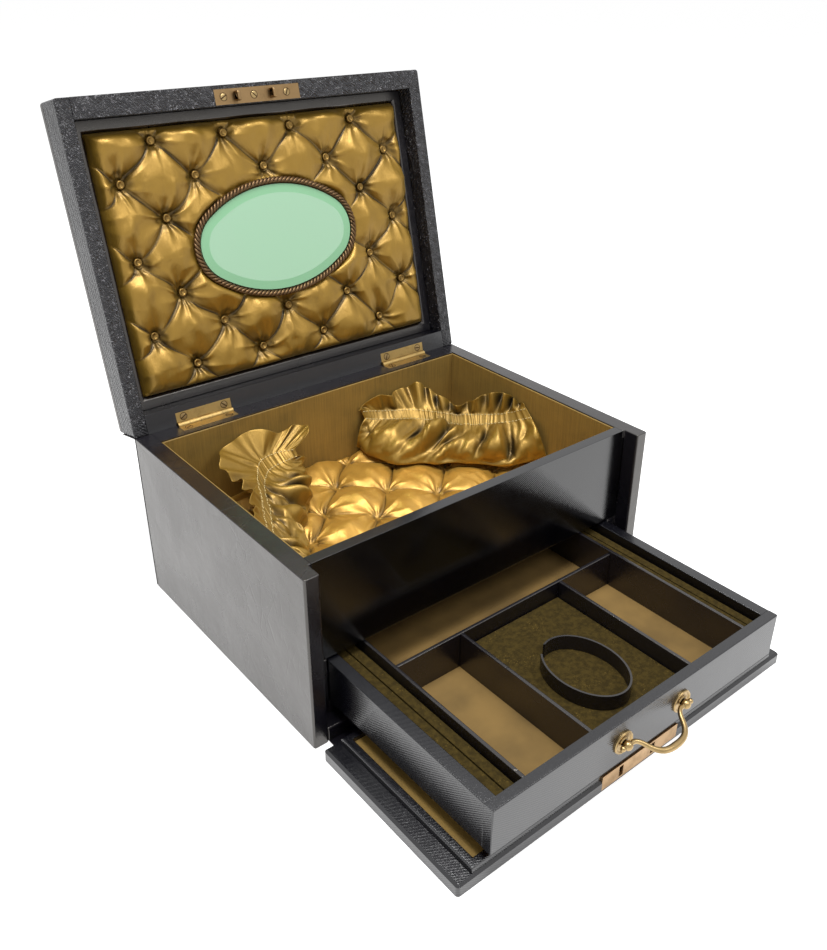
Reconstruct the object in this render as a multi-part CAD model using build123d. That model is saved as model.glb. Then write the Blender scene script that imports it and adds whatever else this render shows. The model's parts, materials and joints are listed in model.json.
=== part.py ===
from build123d import *
import math
import os

# A leather-covered vanity box: a lid with an oval mirror, a lined compartment under it, a drawer
# below that, and a front flap that folds down in front of the drawer and holds the lock.
# Millimetres. The origin is the centre of the carcass underside, +X right, +Y back, +Z up.
# It is drawn with the lid open, the drawer out and the flap lying on the table.

# ---- carcass
box_w = 280.0  # over both side panels
box_d = 208.0  # front lips to back
box_h = 120.0
side_t = 12.0
lip_t = 10.0  # the side panels are thinner in front of the recessed front panel
back_t = 14.0
recess = 11.5  # lips to front panel
panel_t = 7.5
base_t = 10.0
bed_t = 8.1  # board that the drawer runs on
floor_z = 50.0  # underside of the compartment floor
floor_t = 3.5
housing = 3.0  # depth of the grooves that hold the boards
tongue_drop = 6.0  # the front panel's tongues stop this far below its top
edge_r = 1.5  # leather-covered outer edges
lining_t = 1.2
lining_drop = 0.8
bottom_pad_t = 12.2
bottom_pad_r = 5.0
pocket_drop = 16.0  # box rim to the top of the pockets
pocket_gaps_x = (17.5, 15.5)  # left and right pocket to the box's middle line
pocket_gaps_y = (40.3, 60.3)  # left and right pocket to the front lining
# each pocket's lower and upper line, left then right, in shares of its reach along the back and side
pocket_feet = (
    [(1, 0), (0.96, 0.2), (0.72, 0.45), (0.57, 0.64), (0.42, 0.85), (0, 1)],
    [(1, 0), (0.94, 0.21), (0.76, 0.48), (0.56, 0.61), (0.31, 0.88), (0, 1)],
)
pocket_heads = (
    [(0.95, 0), (0.9, 0.11), (0.57, 0.26), (0.39, 0.47), (0.26, 0.83), (0, 0.97)],
    [(0.79, 0), (0.74, 0.13), (0.52, 0.3), (0.34, 0.5), (0.13, 0.71), (0, 0.77)],
)
guide_w = 6.6  # blocks between the drawer and the sides

# ---- lid
lid_open = 102.7  # degrees from shut
lid_h = 28.0
lid_top_t = 6.0
lid_side_w = 10.0
lid_front_w = 13.0
lid_back_w = 13.5
lid_corner_r = 2.0
lid_edge_r = 2.5
rim_gap = 0.3  # shut lid to carcass
backing_t = 1.5
inner_frame_w = 8.0
inner_frame_t = 6.5
lid_pad_t = 12.2
lid_pad_r = 4.0
tuft_pitch_x = 53.0
tuft_pitch_u = 25.0
tuft_rows = 3  # rows on each side of the middle one
tuft_margin = 7.0
tuft_pit_r = 3.8
tuft_pit_depth = 6.5
button_r = 3.0
button_crown_r = 1.8
button_t = 2.4

# ---- mirror, an oval with its centre on the lid's middle line
mirror_shift = 3.6  # from the lid's middle towards its front
mirror_w = 134.0  # over the rope frame
mirror_h = 84.0
mirror_end_r = 30.0  # arc round each end of the oval
rope_d = 5.0
rope_seat = 0.2  # how far the rope is flattened on its block
glass_t = 3.0
glass_edge_t = 1.5
glass_bevel_w = 6.0
mirror_block_t = 10.2
mirror_fit = 0.3

# ---- hinges
hinge_l = 42.0
hinge_inset = 19.3  # end of the hinge to the inside of the side panel
body_leaf_w = 9.0
lid_leaf_w = 9.0
leaf_t = 1.2
knuckle_r = 2.1
knuckles = 5
knuckle_gap = 0.15
pin_r = 1.0
pin_play = 0.05
groove_play = 0.4
hinge_screw_x = 15.5
screw_head_r = 2.3
screw_r = 1.1
screw_l = 8.0

# ---- lock: staples on the lid, slots and a sliding bolt in the flap
lock_x = -1.0
lock_plate_l = 66.0
lock_plate_h = 10.0
lock_plate_t = 1.4
lock_plate_z = 0.9  # lower edge on the folded-down flap
catch_t = 1.2
catch_inset = 2.6  # from the lid's front edge
staple_spacing = 27.5
staple_shift = -3.25  # middle of the two staples from the plate's middle
staple_t = 2.4
staple_l = 6.6
staple_out = 4.8
staple_bar = 1.5
staple_play = 0.5
catch_screw_insets = (6.5, 10.5)  # left and right end screws from the plate's ends
case_inset = 4.0  # end of the plate to the end of the case behind it
case_d = 26.0
case_wall = 1.1
case_skin = 1.0  # board left between the escutcheon and the case
bolt_t = 3.2
bolt_play = 0.3
prong_w = 4.0
prong_clear = 0.6  # open prong to slot
escutcheon_w = 13.0
escutcheon_l = 18.0
escutcheon_t = 0.9
keyhole_r = 1.5
keyhole_slot_w = 1.3
keyhole_slot_l = 4.2

# ---- drawer
drawer_stay = 38.5  # length of the drawn drawer that stays behind the front panel's face
drawer_back_gap = 2.5  # shut drawer to the back panel
drawer_head_gap = 0.8  # drawer to the compartment floor
drawer_wall = 8.0
drawer_front_t = 6.5
drawer_bottom_t = 3.0
drawer_rebate = 4.0
drawer_lift = 0.3  # running gap over the bed
drawer_play = 0.4  # each side
divider_t = 2.4
roll_channel_w = 17.8
centre_divider_x = 42.8
cross_divider_y = 114.0  # from the drawer's front face
divider_drop = 1.8
paper_t = 0.6
roll_drop = 5.2  # drawer top to the top of the rolls
roll_r = 4.0
roll_slit_w = 1.0
roll_slit_d = 12.0
bracelet_pad_drop = 13.2  # drawer top to the top of the pad
band_w = 44.0
band_l = 60.0
band_t = 1.2
band_h = 10.0
band_x = -4.5
band_y = 46.5  # centre, from the drawer's front face
band_gap = 9.0
band_gap_at = 118.0  # degrees round the oval from +X

# ---- drawer handle
handle_x = 1.5
handle_drop = 0.3  # below the middle of the drawer front
post_spacing = 50.8
pivot_out = 3.7  # bail axis to the drawer's front face
rosette_r = 7.4
rosette_t = 0.7  # dished middle
rosette_rim_t = 1.4
rosette_rim_w = 1.1
post_collar = 0.6  # past the head's radius, and up from the dish
post_head_r = 2.9
shank_r = 1.5
nut_flats = 6.0
nut_t = 2.4
bail_d = 2.8
bail_grip_d = 4.2
bail_end = 4.0  # past the middle of the post, to the middle of the knob
bail_knob_r = 1.7
bail_reach = 14.4
# control points from a straight end to the middle: inwards from the post, and out as a share of the reach
bail_curve = [(3.4, 0), (13.1, 0), (6.5, 1.08), (21.8, 1), (post_spacing / 2, 1)]
bail_sections = 8  # from a straight end to the middle
bail_drop = 20.0  # degrees below level
bail_play = 0.06

# ---- flap
flap_t = 8.0
flap_strip_t = 1.2  # leather hinge strip
flap_end_gap = 1.5  # hinge axis to the flap's edge
flap_top_gap = 0.5  # shut flap to lid
flap_edge_r = 1.5
flap_frame_t = 4.0
flap_frame_side = 0.4  # frame to lips when shut
flap_frame_w = 5.0
flap_frame_back = 4.0
flap_lining_t = 1.0

seat = 0.3  # a soft or loose piece stands this far off what carries it
near = 0.1  # for picking edges by their place

# ---- worked out
half_w = box_w / 2
front_y = -box_d / 2
back_y = box_d / 2
inner_x = half_w - side_t
lip_x = half_w - lip_t
panel_y = front_y + recess
panel_back_y = panel_y + panel_t
back_in_y = back_y - back_t
hinge_x = inner_x - hinge_inset - hinge_l / 2
bed_z = base_t + bed_t
floor_top_z = floor_z + floor_t
lined_x = inner_x - lining_t
lined_front_y = panel_back_y + lining_t
lined_back_y = back_in_y - lining_t
pocket_top_z = box_h - pocket_drop

lid_l = box_d + flap_t
mirror_u = lid_l / 2 + mirror_shift
lid_inner_u0 = lid_back_w
lid_inner_u1 = lid_l - lid_front_w
lid_inner_x = half_w - lid_side_w
lid_ceiling = lid_h - lid_top_t
backing_v = lid_ceiling - backing_t
frame_x = lid_inner_x - inner_frame_w
frame_u0 = lid_inner_u0 + inner_frame_w
frame_u1 = lid_inner_u1 - inner_frame_w
lid_pad_v = backing_v - seat - lid_pad_t
pit_v = lid_pad_v + tuft_pit_depth
block_v = backing_v - mirror_block_t
rope_v = block_v - rope_d / 2 + rope_seat

flap_axis_y = front_y - flap_t
flap_back_y = flap_axis_y - flap_end_gap
flap_l = box_h - flap_top_gap - flap_end_gap
flap_front_y = flap_back_y - flap_l
plate_back_y = flap_front_y + lock_plate_t
case_floor_z = escutcheon_t + case_skin
case_l = lock_plate_l - 2 * case_inset
staple_mid_x = lock_x + staple_shift
staple_xs = [staple_mid_x + side * staple_spacing / 2 for side in (-1, 1)]
catch_screw_xs = [
    lock_x - lock_plate_l / 2 + catch_screw_insets[0],
    staple_mid_x,
    lock_x + lock_plate_l / 2 - catch_screw_insets[1],
]

drawer_back_y = panel_y + drawer_stay
drawer_out = back_in_y - drawer_back_gap - drawer_back_y  # travel from shut to drawn
drawer_front_y = panel_y - drawer_out
drawer_z = bed_z + drawer_lift
drawer_top_z = floor_z - drawer_head_gap
guide_x = inner_x - guide_w
drawer_x = guide_x - drawer_play
drawer_in_x = drawer_x - drawer_wall
drawer_in_front = drawer_front_y + drawer_front_t
drawer_in_back = drawer_back_y - drawer_wall
drawer_floor_z = drawer_z + drawer_bottom_t
paper_top_z = drawer_floor_z + paper_t
cross_y = drawer_front_y + cross_divider_y
low_divider_z = drawer_top_z - divider_drop
long_divider_x = drawer_in_x - roll_channel_w - divider_t / 2
roll_top_z = drawer_top_z - roll_drop
bracelet_pad_z = drawer_top_z - bracelet_pad_drop
handle_z = (drawer_z + drawer_top_z) / 2 - handle_drop
post_xs = [handle_x + side * post_spacing / 2 for side in (-1, 1)]
pivot_y = drawer_front_y - pivot_out


# ---- helpers
def block(x0, x1, y0, y1, z0, z1):
    return Pos((x0 + x1) / 2, (y0 + y1) / 2, (z0 + z1) / 2) * Box(x1 - x0, y1 - y0, z1 - z0)


def x_rod(radius, x0, x1, y, z):
    return Pos((x0 + x1) / 2, y, z) * Rot(Y=90) * Cylinder(radius, x1 - x0)


def ellipse_block(a, b, z0, z1):
    return Pos(0, 0, z0) * extrude(Ellipse(a, b), z1 - z0)


def mirror_outline(inset):
    """The mirror's oval as four tangent arcs, moved in by the inset from the rope's outer edge."""
    a, b = mirror_w / 2, mirror_h / 2
    end_c = a - mirror_end_r
    side_r = (end_c**2 + b**2 - mirror_end_r**2) / (2 * (b - mirror_end_r))
    side_c = side_r - b
    turn = math.degrees(math.atan2(side_c, end_c))
    end_r, long_r = mirror_end_r - inset, side_r - inset
    return [
        CenterArc((end_c, 0), end_r, -turn, 2 * turn),
        CenterArc((0, -side_c), long_r, turn, 180 - 2 * turn),
        CenterArc((-end_c, 0), end_r, 180 - turn, 2 * turn),
        CenterArc((0, side_c), long_r, 180 + turn, 180 - 2 * turn),
    ]


def mirror_oval(inset, z0, z1):
    return Pos(0, -mirror_u, z0) * extrude(make_face(mirror_outline(inset)), z1 - z0)


def prism(points, z0, z1):
    outline = make_face(Polyline(*points, close=True))
    return Pos(0, 0, z0) * extrude(outline, z1 - z0)


def in_lid(shape):
    """Carry a shape from the lid's own frame (x, -u from the hinge axis, depth) to its open place."""
    return Pos(0, back_y, box_h) * Rot(X=-lid_open) * shape


def lid_block(x0, x1, u0, u1, v0, v1):
    return block(x0, x1, -u1, -u0, v0, v1)


def screw_body(reach):
    """A countersunk screw's outline, head at z = 0 and pointing down."""
    head = Pos(0, 0, -leaf_t / 2) * Cone(screw_r, screw_head_r, leaf_t)
    return head + Pos(0, 0, -reach / 2) * Cylinder(screw_r, reach)


def save(name, *shapes):
    solids = [solid for shape in shapes for solid in shape.solids()]
    export_step(Compound(solids), f"parts/{name}.step")


# ---- carcass
def side_panel(side):
    plan = [
        (half_w, front_y),
        (half_w, back_y),
        (inner_x, back_y),
        (inner_x, panel_y),
        (lip_x, panel_y),
        (lip_x, front_y),
    ]
    board = prism(plan, 0, box_h)
    upright = board.edges().filter_by(Axis.Z)
    lip_edges = upright.filter_by_position(Axis.Y, front_y - near, front_y + near)
    outer_back = upright.filter_by_position(Axis.X, half_w - near, half_w + near).sort_by(Axis.Y)[-1:]
    board = fillet(lip_edges + outer_back, edge_r)
    board -= block(inner_x, inner_x + housing, panel_y, back_in_y, floor_z, floor_top_z)
    tongue_top = box_h - tongue_drop
    board -= block(inner_x, inner_x + housing, panel_y, panel_back_y, floor_z, tongue_top)
    return board if side > 0 else mirror(board, Plane.YZ)


def hinge_centres():
    return [side * hinge_x for side in (-1, 1)]


def knuckle_groove(x):
    reach = hinge_l / 2 + groove_play
    return x_rod(knuckle_r + groove_play, x - reach, x + reach, back_y, box_h)


def body_screw_places():
    mid = back_y - (body_leaf_w + knuckle_r) / 2
    return [Pos(x + side * hinge_screw_x, mid, box_h) for x in hinge_centres() for side in (-1, 1)]


def back_panel():
    board = block(-inner_x, inner_x, back_in_y, back_y, 0, box_h)
    board -= block(-inner_x, inner_x, back_in_y, back_in_y + housing, floor_z, floor_top_z)
    for x in hinge_centres():
        half = hinge_l / 2
        board -= block(x - half, x + half, back_y - body_leaf_w, back_y, box_h - leaf_t, box_h)
        board -= knuckle_groove(x)
    for place in body_screw_places():
        board -= place * screw_body(screw_l)
    return board


def base_board():
    plan = [
        (-lip_x, front_y),
        (lip_x, front_y),
        (lip_x, panel_y),
        (inner_x, panel_y),
        (inner_x, back_in_y),
        (-inner_x, back_in_y),
        (-inner_x, panel_y),
        (-lip_x, panel_y),
    ]
    board = prism(plan, 0, base_t)
    front_edge = board.edges().filter_by(Axis.X).filter_by_position(Axis.Y, front_y - near, front_y + near)
    return fillet(front_edge.sort_by(Axis.Z)[-1:], edge_r)


def front_panel():
    board = block(-inner_x, inner_x, panel_y, panel_back_y, floor_z, box_h)
    low_edge = board.edges().filter_by(Axis.X).group_by(Axis.Z)[0].sort_by(Axis.Y)[:1]
    board = fillet(low_edge, edge_r)
    tongue = inner_x + housing
    half_tongue = block(-tongue, tongue, panel_y, panel_back_y, floor_z + edge_r, box_h - tongue_drop)
    return board + half_tongue


def compartment_floor():
    """A board with tongues on both sides and at the back."""
    side_tongues = inner_x + housing
    board = block(-side_tongues, side_tongues, panel_back_y, back_in_y, floor_z, floor_top_z)
    return board + block(-inner_x, inner_x, back_in_y, back_in_y + housing, floor_z, floor_top_z)


def drawer_guides():
    guide = block(guide_x, inner_x, panel_y, back_in_y, base_t, floor_z)
    return [guide, mirror(guide, Plane.YZ)]


def drawer_bed():
    return block(-guide_x, guide_x, panel_y, back_in_y, base_t, bed_z)


def linings():
    top = box_h - lining_drop
    side = block(lined_x, inner_x, panel_back_y, back_in_y, floor_top_z, top)
    return {
        "lining_right": side,
        "lining_left": mirror(side, Plane.YZ),
        "lining_front": block(-lined_x, lined_x, panel_back_y, lined_front_y, floor_top_z, top),
        "lining_back": block(-lined_x, lined_x, lined_back_y, back_in_y, floor_top_z, top),
    }


def bottom_pad():
    low = floor_top_z + seat
    pad = block(
        -lined_x + seat, lined_x - seat, lined_front_y + seat, lined_back_y - seat, low, low + bottom_pad_t
    )
    return fillet(pad.faces().sort_by(Axis.Z)[-1].edges(), bottom_pad_r)


def pocket(side):
    """A gathered pocket slung across a back corner, as a plain solid that narrows upwards."""
    wall_x = lined_x - seat
    wall_y = lined_back_y - seat
    low = floor_top_z + 2 * seat + bottom_pad_t
    which = 0 if side < 0 else 1
    reach_x = wall_x - pocket_gaps_x[which]
    reach_y = wall_y - lined_front_y - pocket_gaps_y[which]

    def outline(shares, z):
        points = [(side * wall_x, wall_y)]
        for share_x, share_y in shares:
            points.append((side * (wall_x - share_x * reach_x), wall_y - share_y * reach_y))
        return Pos(0, 0, z) * make_face(Polyline(*points, close=True))

    return loft([outline(pocket_feet[which], low), outline(pocket_heads[which], pocket_top_z)], ruled=True)


def flap_hinge_strip():
    return block(-lip_x, lip_x, flap_back_y + seat, front_y, 0, flap_strip_t)


# ---- hinges
def knuckle_spans(x, first):
    """Alternate knuckles, from the first or the second, as (start, end) along X."""
    pitch = hinge_l / knuckles
    starts = [x - hinge_l / 2 + index * pitch for index in range(first, knuckles, 2)]
    return [(start + knuckle_gap / 2, start + pitch - knuckle_gap / 2) for start in starts]


def hinge_leaf(x, plate, own_first, other_first, bore_r):
    """One leaf about the hinge axis at y = z = 0: a plate with its knuckles and room for the other's."""
    leaf = plate
    for start, end in knuckle_spans(x, other_first):
        leaf -= x_rod(knuckle_r + groove_play / 2, start - knuckle_gap, end + knuckle_gap, 0, 0)
    for start, end in knuckle_spans(x, own_first):
        leaf += x_rod(knuckle_r, start, end, 0, 0)
    return leaf - x_rod(bore_r, x - hinge_l, x + hinge_l, 0, 0)


def hinge_body_leaves():
    leaves = []
    for x in hinge_centres():
        plate = block(x - hinge_l / 2, x + hinge_l / 2, -body_leaf_w, 0, -leaf_t, 0)
        leaf = Pos(0, back_y, box_h) * hinge_leaf(x, plate, 0, 1, pin_r)
        for place in body_screw_places():
            leaf -= place * screw_body(screw_l)
        leaves.append(leaf)
    return leaves


def lid_screw_places():
    mid = (lid_leaf_w + knuckle_r) / 2
    spots = [(x + side * hinge_screw_x, mid) for x in hinge_centres() for side in (-1, 1)]
    return [Pos(x, -u, rim_gap) * Rot(X=180) for x, u in spots]


def hinge_lid_leaves():
    leaves = []
    for x in hinge_centres():
        plate = block(x - hinge_l / 2, x + hinge_l / 2, -lid_leaf_w, 0, rim_gap, rim_gap + leaf_t)
        leaf = hinge_leaf(x, plate, 1, 0, pin_r + pin_play)
        for place in lid_screw_places():
            leaf -= place * screw_body(screw_l)
        leaves.append(in_lid(leaf))
    return leaves


def hinge_pins():
    half = hinge_l / 2
    return [x_rod(pin_r, x - half, x + half, back_y, box_h) for x in hinge_centres()]


# ---- lid, drawn shut about the hinge axis and then opened
def lid_top():
    board = lid_block(-half_w, half_w, 0, lid_l, lid_ceiling, lid_h)
    board = fillet(board.edges().filter_by(Axis.Z), lid_corner_r)
    return fillet(board.faces().sort_by(Axis.Z)[-1].edges(), lid_edge_r)


def lid_side():
    rail = lid_block(lid_inner_x, half_w, 0, lid_l, rim_gap, lid_ceiling)
    outer = rail.edges().filter_by(Axis.Z).filter_by_position(Axis.X, half_w - near, half_w + near)
    return fillet(outer, lid_corner_r)


def catch_plate_block(v0, v1):
    u1 = lid_l - catch_inset
    half = lock_plate_l / 2
    return lid_block(lock_x - half, lock_x + half, u1 - lock_plate_h, u1, v0, v1)


def catch_screw_places():
    u = lid_l - catch_inset - lock_plate_h / 2
    return [Pos(x, -u, rim_gap) * Rot(X=180) for x in catch_screw_xs]


def lid_front_rail():
    rail = lid_block(-lid_inner_x, lid_inner_x, lid_inner_u1, lid_l, rim_gap, lid_ceiling)
    rail -= catch_plate_block(rim_gap, rim_gap + catch_t)
    for place in catch_screw_places():
        rail -= place * screw_body(screw_l)
    return rail


def lid_back_rail():
    rail = lid_block(-lid_inner_x, lid_inner_x, 0, lid_inner_u0, rim_gap, lid_ceiling)
    for x in hinge_centres():
        half = hinge_l / 2
        rail -= lid_block(x - half, x + half, 0, lid_leaf_w, rim_gap, rim_gap + leaf_t)
        reach = half + groove_play
        rail -= x_rod(knuckle_r + groove_play, x - reach, x + reach, 0, 0)
    for place in lid_screw_places():
        rail -= place * screw_body(screw_l)
    return rail


def lid_backing():
    return lid_block(-lid_inner_x, lid_inner_x, lid_inner_u0, lid_inner_u1, backing_v, lid_ceiling)


def lid_inner_frame():
    low = backing_v - inner_frame_t
    ring = lid_block(-lid_inner_x, lid_inner_x, lid_inner_u0, lid_inner_u1, low, backing_v)
    ring -= lid_block(-frame_x, frame_x, frame_u0, frame_u1, low, backing_v)
    rim_face = ring.faces().sort_by(Axis.Z)[0]
    return chamfer(rim_face.inner_wires()[0].edges(), edge_r)


def tuft_places():
    """Diamond pattern of (x, u), leaving out what the mirror covers and what falls off the pad."""
    places = []
    columns = math.ceil(half_w / tuft_pitch_x)
    for row in range(-tuft_rows, tuft_rows + 1):
        u = mirror_u + row * tuft_pitch_u
        shift = tuft_pitch_x / 2 if row % 2 else 0
        for column in range(-columns, columns + 1):
            x = column * tuft_pitch_x + shift
            on_pad = abs(x) < frame_x - tuft_margin
            on_pad = on_pad and frame_u0 + tuft_margin < u < frame_u1 - tuft_margin
            reach_x = mirror_w / 2 + button_r
            reach_u = mirror_h / 2 + button_r
            behind_mirror = (x / reach_x) ** 2 + ((u - mirror_u) / reach_u) ** 2 < 1
            if on_pad and not behind_mirror:
                places.append((x, u))
    return places


def lid_pad():
    pad = lid_block(
        -frame_x + seat, frame_x - seat, frame_u0 + seat, frame_u1 - seat, lid_pad_v, lid_pad_v + lid_pad_t
    )
    pad = chamfer(pad.faces().sort_by(Axis.Z)[0].edges(), lid_pad_r)
    pad -= mirror_oval(-seat, 0, lid_ceiling)
    for x, u in tuft_places():
        pad -= Pos(x, -u, lid_pad_v) * extrude(RegularPolygon(tuft_pit_r, 6), tuft_pit_depth)
    return pad


def tuft_button():
    """A covered button with its flat back at z = 0, its crown downwards."""
    return Pos(0, 0, -button_t / 2) * Cone(button_crown_r, button_r, button_t)


def mirror_block():
    return mirror_oval(mirror_fit, block_v, backing_v)


def mirror_glass():
    """The glass lies inside the rope with its bevelled face towards the open side."""
    inset = rope_d + mirror_fit
    edge_v = block_v - glass_edge_t
    plate = mirror_oval(inset, edge_v, block_v)
    rise = glass_t - glass_edge_t
    slope = math.degrees(math.atan2(glass_bevel_w, rise))
    bevel = extrude(make_face(mirror_outline(inset)), rise, taper=slope)
    return plate + Pos(0, -mirror_u, edge_v) * Rot(X=180) * bevel


def mirror_frame():
    path = Wire(mirror_outline(rope_d / 2))
    section = Plane(origin=path @ 0, z_dir=path % 0) * Circle(rope_d / 2)
    ring = Pos(0, -mirror_u, rope_v) * sweep(section, path=path)
    half = 2 * mirror_w
    return ring & block(-half, half, -half - mirror_u, half - mirror_u, 0, block_v)


def catch_plate():
    plate = catch_plate_block(rim_gap, rim_gap + catch_t)
    for place in catch_screw_places():
        plate -= place * screw_body(screw_l)
    return plate


def catch_staples():
    u = lid_l - catch_inset - lock_plate_h / 2
    half = staple_l / 2
    staples = []
    for x in staple_xs:
        loop = lid_block(x - staple_t / 2, x + staple_t / 2, u - half, u + half, -staple_out, rim_gap)
        tip = loop.edges().filter_by(Axis.X).group_by(Axis.Z)[0]
        loop = fillet(tip, edge_r)
        gap = half - staple_bar
        loop -= lid_block(x - staple_t, x + staple_t, u - gap, u + gap, staple_bar - staple_out, -bolt_play)
        staples.append(loop)
    return staples


# ---- flap, lying open
def flap_board():
    board = block(-half_w, half_w, flap_front_y, flap_back_y, 0, flap_t)
    board = fillet(board.edges().filter_by(Axis.Z), lid_corner_r)
    board = chamfer(board.faces().sort_by(Axis.Z)[-1].edges(), flap_edge_r)
    board -= lock_cavity()
    board -= plate_block()
    return board - escutcheon_block() - keyway(0, case_floor_z)


def plate_block():
    half = lock_plate_l / 2
    top = lock_plate_z + lock_plate_h
    return block(lock_x - half, lock_x + half, flap_front_y, plate_back_y, lock_plate_z, top)


def lock_cavity():
    half = case_l / 2
    return block(lock_x - half, lock_x + half, plate_back_y, plate_back_y + case_d, case_floor_z, flap_t)


def keyway(z0, z1):
    """The keyhole through the escutcheon, board and case floor."""
    y = plate_back_y + case_d / 2
    barrel = Pos(lock_x, y, (z0 + z1) / 2) * Cylinder(keyhole_r, z1 - z0)
    half = keyhole_slot_w / 2
    return barrel + block(lock_x - half, lock_x + half, y - keyhole_slot_l, y, z0, z1)


def escutcheon_block():
    place = Pos(lock_x, plate_back_y + case_d / 2, 0)
    return place * ellipse_block(escutcheon_w / 2, escutcheon_l / 2, 0, escutcheon_t)


def escutcheon():
    return escutcheon_block() - keyway(0, escutcheon_t)


def lock_case():
    """A box that is open towards the plate."""
    half = case_l / 2 - case_wall
    inner_end = plate_back_y + case_d - case_wall
    inside = block(
        lock_x - half, lock_x + half, plate_back_y, inner_end, case_floor_z + case_wall, flap_t - case_wall
    )
    return lock_cavity() - inside - keyway(0, case_floor_z + case_wall)


def lock_plate():
    plate = plate_block()
    half_x = staple_t / 2 + staple_play
    half_z = staple_l / 2 + staple_play
    mid_z = lock_plate_z + lock_plate_h / 2
    for x in staple_xs:
        plate -= block(x - half_x, x + half_x, flap_front_y, plate_back_y, mid_z - half_z, mid_z + half_z)
    return plate


def lock_bolt():
    """A bar with a prong beside each slot: it slides towards -X, through the lid's staples."""
    z0 = case_floor_z + case_wall + bolt_play
    z1 = flap_t - case_wall - bolt_play
    prong_y0 = plate_back_y + bolt_play
    prong_y1 = prong_y0 + bolt_t
    slot_edge = staple_t / 2 + staple_play + prong_clear
    right_end = staple_xs[-1] + slot_edge + prong_w
    left_end = staple_xs[0] + slot_edge
    bolt = block(left_end, right_end, prong_y1, prong_y1 + bolt_t, z0, z1)
    for x in staple_xs:
        start = x + slot_edge
        bolt += block(start, start + prong_w, prong_y0, prong_y1, z0, z1)
    return bolt


def flap_frame():
    half = lip_x - flap_frame_side
    back = flap_axis_y - flap_frame_back
    z0, z1 = flap_t, flap_t + flap_frame_t
    ring = block(-half, half, plate_back_y, back, z0, z1)
    ring = chamfer(ring.faces().sort_by(Axis.Z)[-1].edges(), edge_r / 2)
    inner = half - flap_frame_w
    front, rear = plate_back_y + flap_frame_w, back - flap_frame_w
    return ring - block(-inner, inner, front, rear, z0, z1)


def flap_lining():
    half = lip_x - flap_frame_side - flap_frame_w
    back = flap_axis_y - flap_frame_back - flap_frame_w
    return block(-half, half, plate_back_y + flap_frame_w, back, flap_t, flap_t + flap_lining_t)


# ---- drawer, drawn out
def handle_holes():
    """Shank holes through the drawer front, with a seat for each nut on the inside."""
    holes = []
    mid = (drawer_front_y + drawer_in_front) / 2
    seat_r = nut_flats / math.sqrt(3) + seat
    for x in post_xs:
        bore = Pos(x, mid, handle_z) * Rot(X=90) * Cylinder(shank_r, drawer_front_t)
        nut_y = drawer_in_front - nut_t / 2
        holes.append(bore + Pos(x, nut_y, handle_z) * Rot(X=90) * Cylinder(seat_r, nut_t))
    return holes


def bottom_space():
    reach = drawer_in_x + drawer_rebate
    return block(
        -reach,
        reach,
        drawer_in_front - drawer_rebate,
        drawer_in_back + drawer_rebate,
        drawer_z,
        drawer_floor_z,
    )


def drawer_front():
    board = block(-drawer_x, drawer_x, drawer_front_y, drawer_in_front, drawer_z, drawer_top_z)
    outer = board.faces().sort_by(Axis.Y)[0].edges()
    board = fillet(outer, edge_r / 2)
    board -= bottom_space()
    for hole in handle_holes():
        board -= hole
    return board


def drawer_side():
    board = block(drawer_in_x, drawer_x, drawer_in_front, drawer_back_y, drawer_z, drawer_top_z)
    return board - bottom_space()


def drawer_back():
    board = block(-drawer_in_x, drawer_in_x, drawer_in_back, drawer_back_y, drawer_z, drawer_top_z)
    return board - bottom_space()


def long_dividers():
    half = divider_t / 2
    x0, x1 = long_divider_x - half, long_divider_x + half
    divider = block(x0, x1, drawer_in_front, drawer_in_back, drawer_floor_z, drawer_top_z)
    return [divider, mirror(divider, Plane.YZ)]


def cross_divider():
    reach = long_divider_x - divider_t / 2
    half = divider_t / 2
    return block(-reach, reach, cross_y - half, cross_y + half, drawer_floor_z, low_divider_z)


def centre_dividers():
    half = divider_t / 2
    x0, x1 = centre_divider_x - half, centre_divider_x + half
    divider = block(x0, x1, drawer_in_front, cross_y - half, drawer_floor_z, low_divider_z)
    return [divider, mirror(divider, Plane.YZ)]


def floor_papers():
    half = divider_t / 2
    outer = long_divider_x - half
    inner = centre_divider_x + half
    rear = block(-outer, outer, cross_y + half, drawer_in_back, drawer_floor_z, paper_top_z)
    side = block(inner, outer, drawer_in_front, cross_y - half, drawer_floor_z, paper_top_z)
    return [rear, side, mirror(side, Plane.YZ)]


def ring_roll():
    x0 = long_divider_x + divider_t / 2 + seat
    x1 = drawer_in_x - seat
    y0, y1 = drawer_in_front + seat, drawer_in_back - seat
    roll = block(x0, x1, y0, y1, drawer_floor_z + seat, roll_top_z)
    roll = fillet(roll.faces().sort_by(Axis.Z)[-1].edges().filter_by(Axis.Y), roll_r)
    mid = (x0 + x1) / 2
    half = roll_slit_w / 2
    return roll - block(mid - half, mid + half, y0, y1, roll_top_z - roll_slit_d, roll_top_z)


def bracelet_pad():
    x = centre_divider_x - divider_t / 2 - seat
    y1 = cross_y - divider_t / 2 - seat
    pad = block(-x, x, drawer_in_front + seat, y1, drawer_floor_z + seat, bracelet_pad_z)
    return fillet(pad.faces().sort_by(Axis.Z)[-1].edges(), edge_r)


def bracelet_band():
    a, b = band_w / 2, band_l / 2
    low = bracelet_pad_z + seat
    band = ellipse_block(a, b, low, low + band_h)
    band -= ellipse_block(a - band_t, b - band_t, low, low + band_h)
    turn = math.radians(band_gap_at)
    tangent = math.degrees(math.atan2(b * math.cos(turn), -a * math.sin(turn)))
    gap_place = Pos(a * math.cos(turn), b * math.sin(turn), low + band_h / 2) * Rot(Z=tangent)
    band -= gap_place * Box(band_gap, 8 * band_t, 2 * band_h)
    return Pos(band_x, drawer_front_y + band_y, 0) * band


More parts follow.
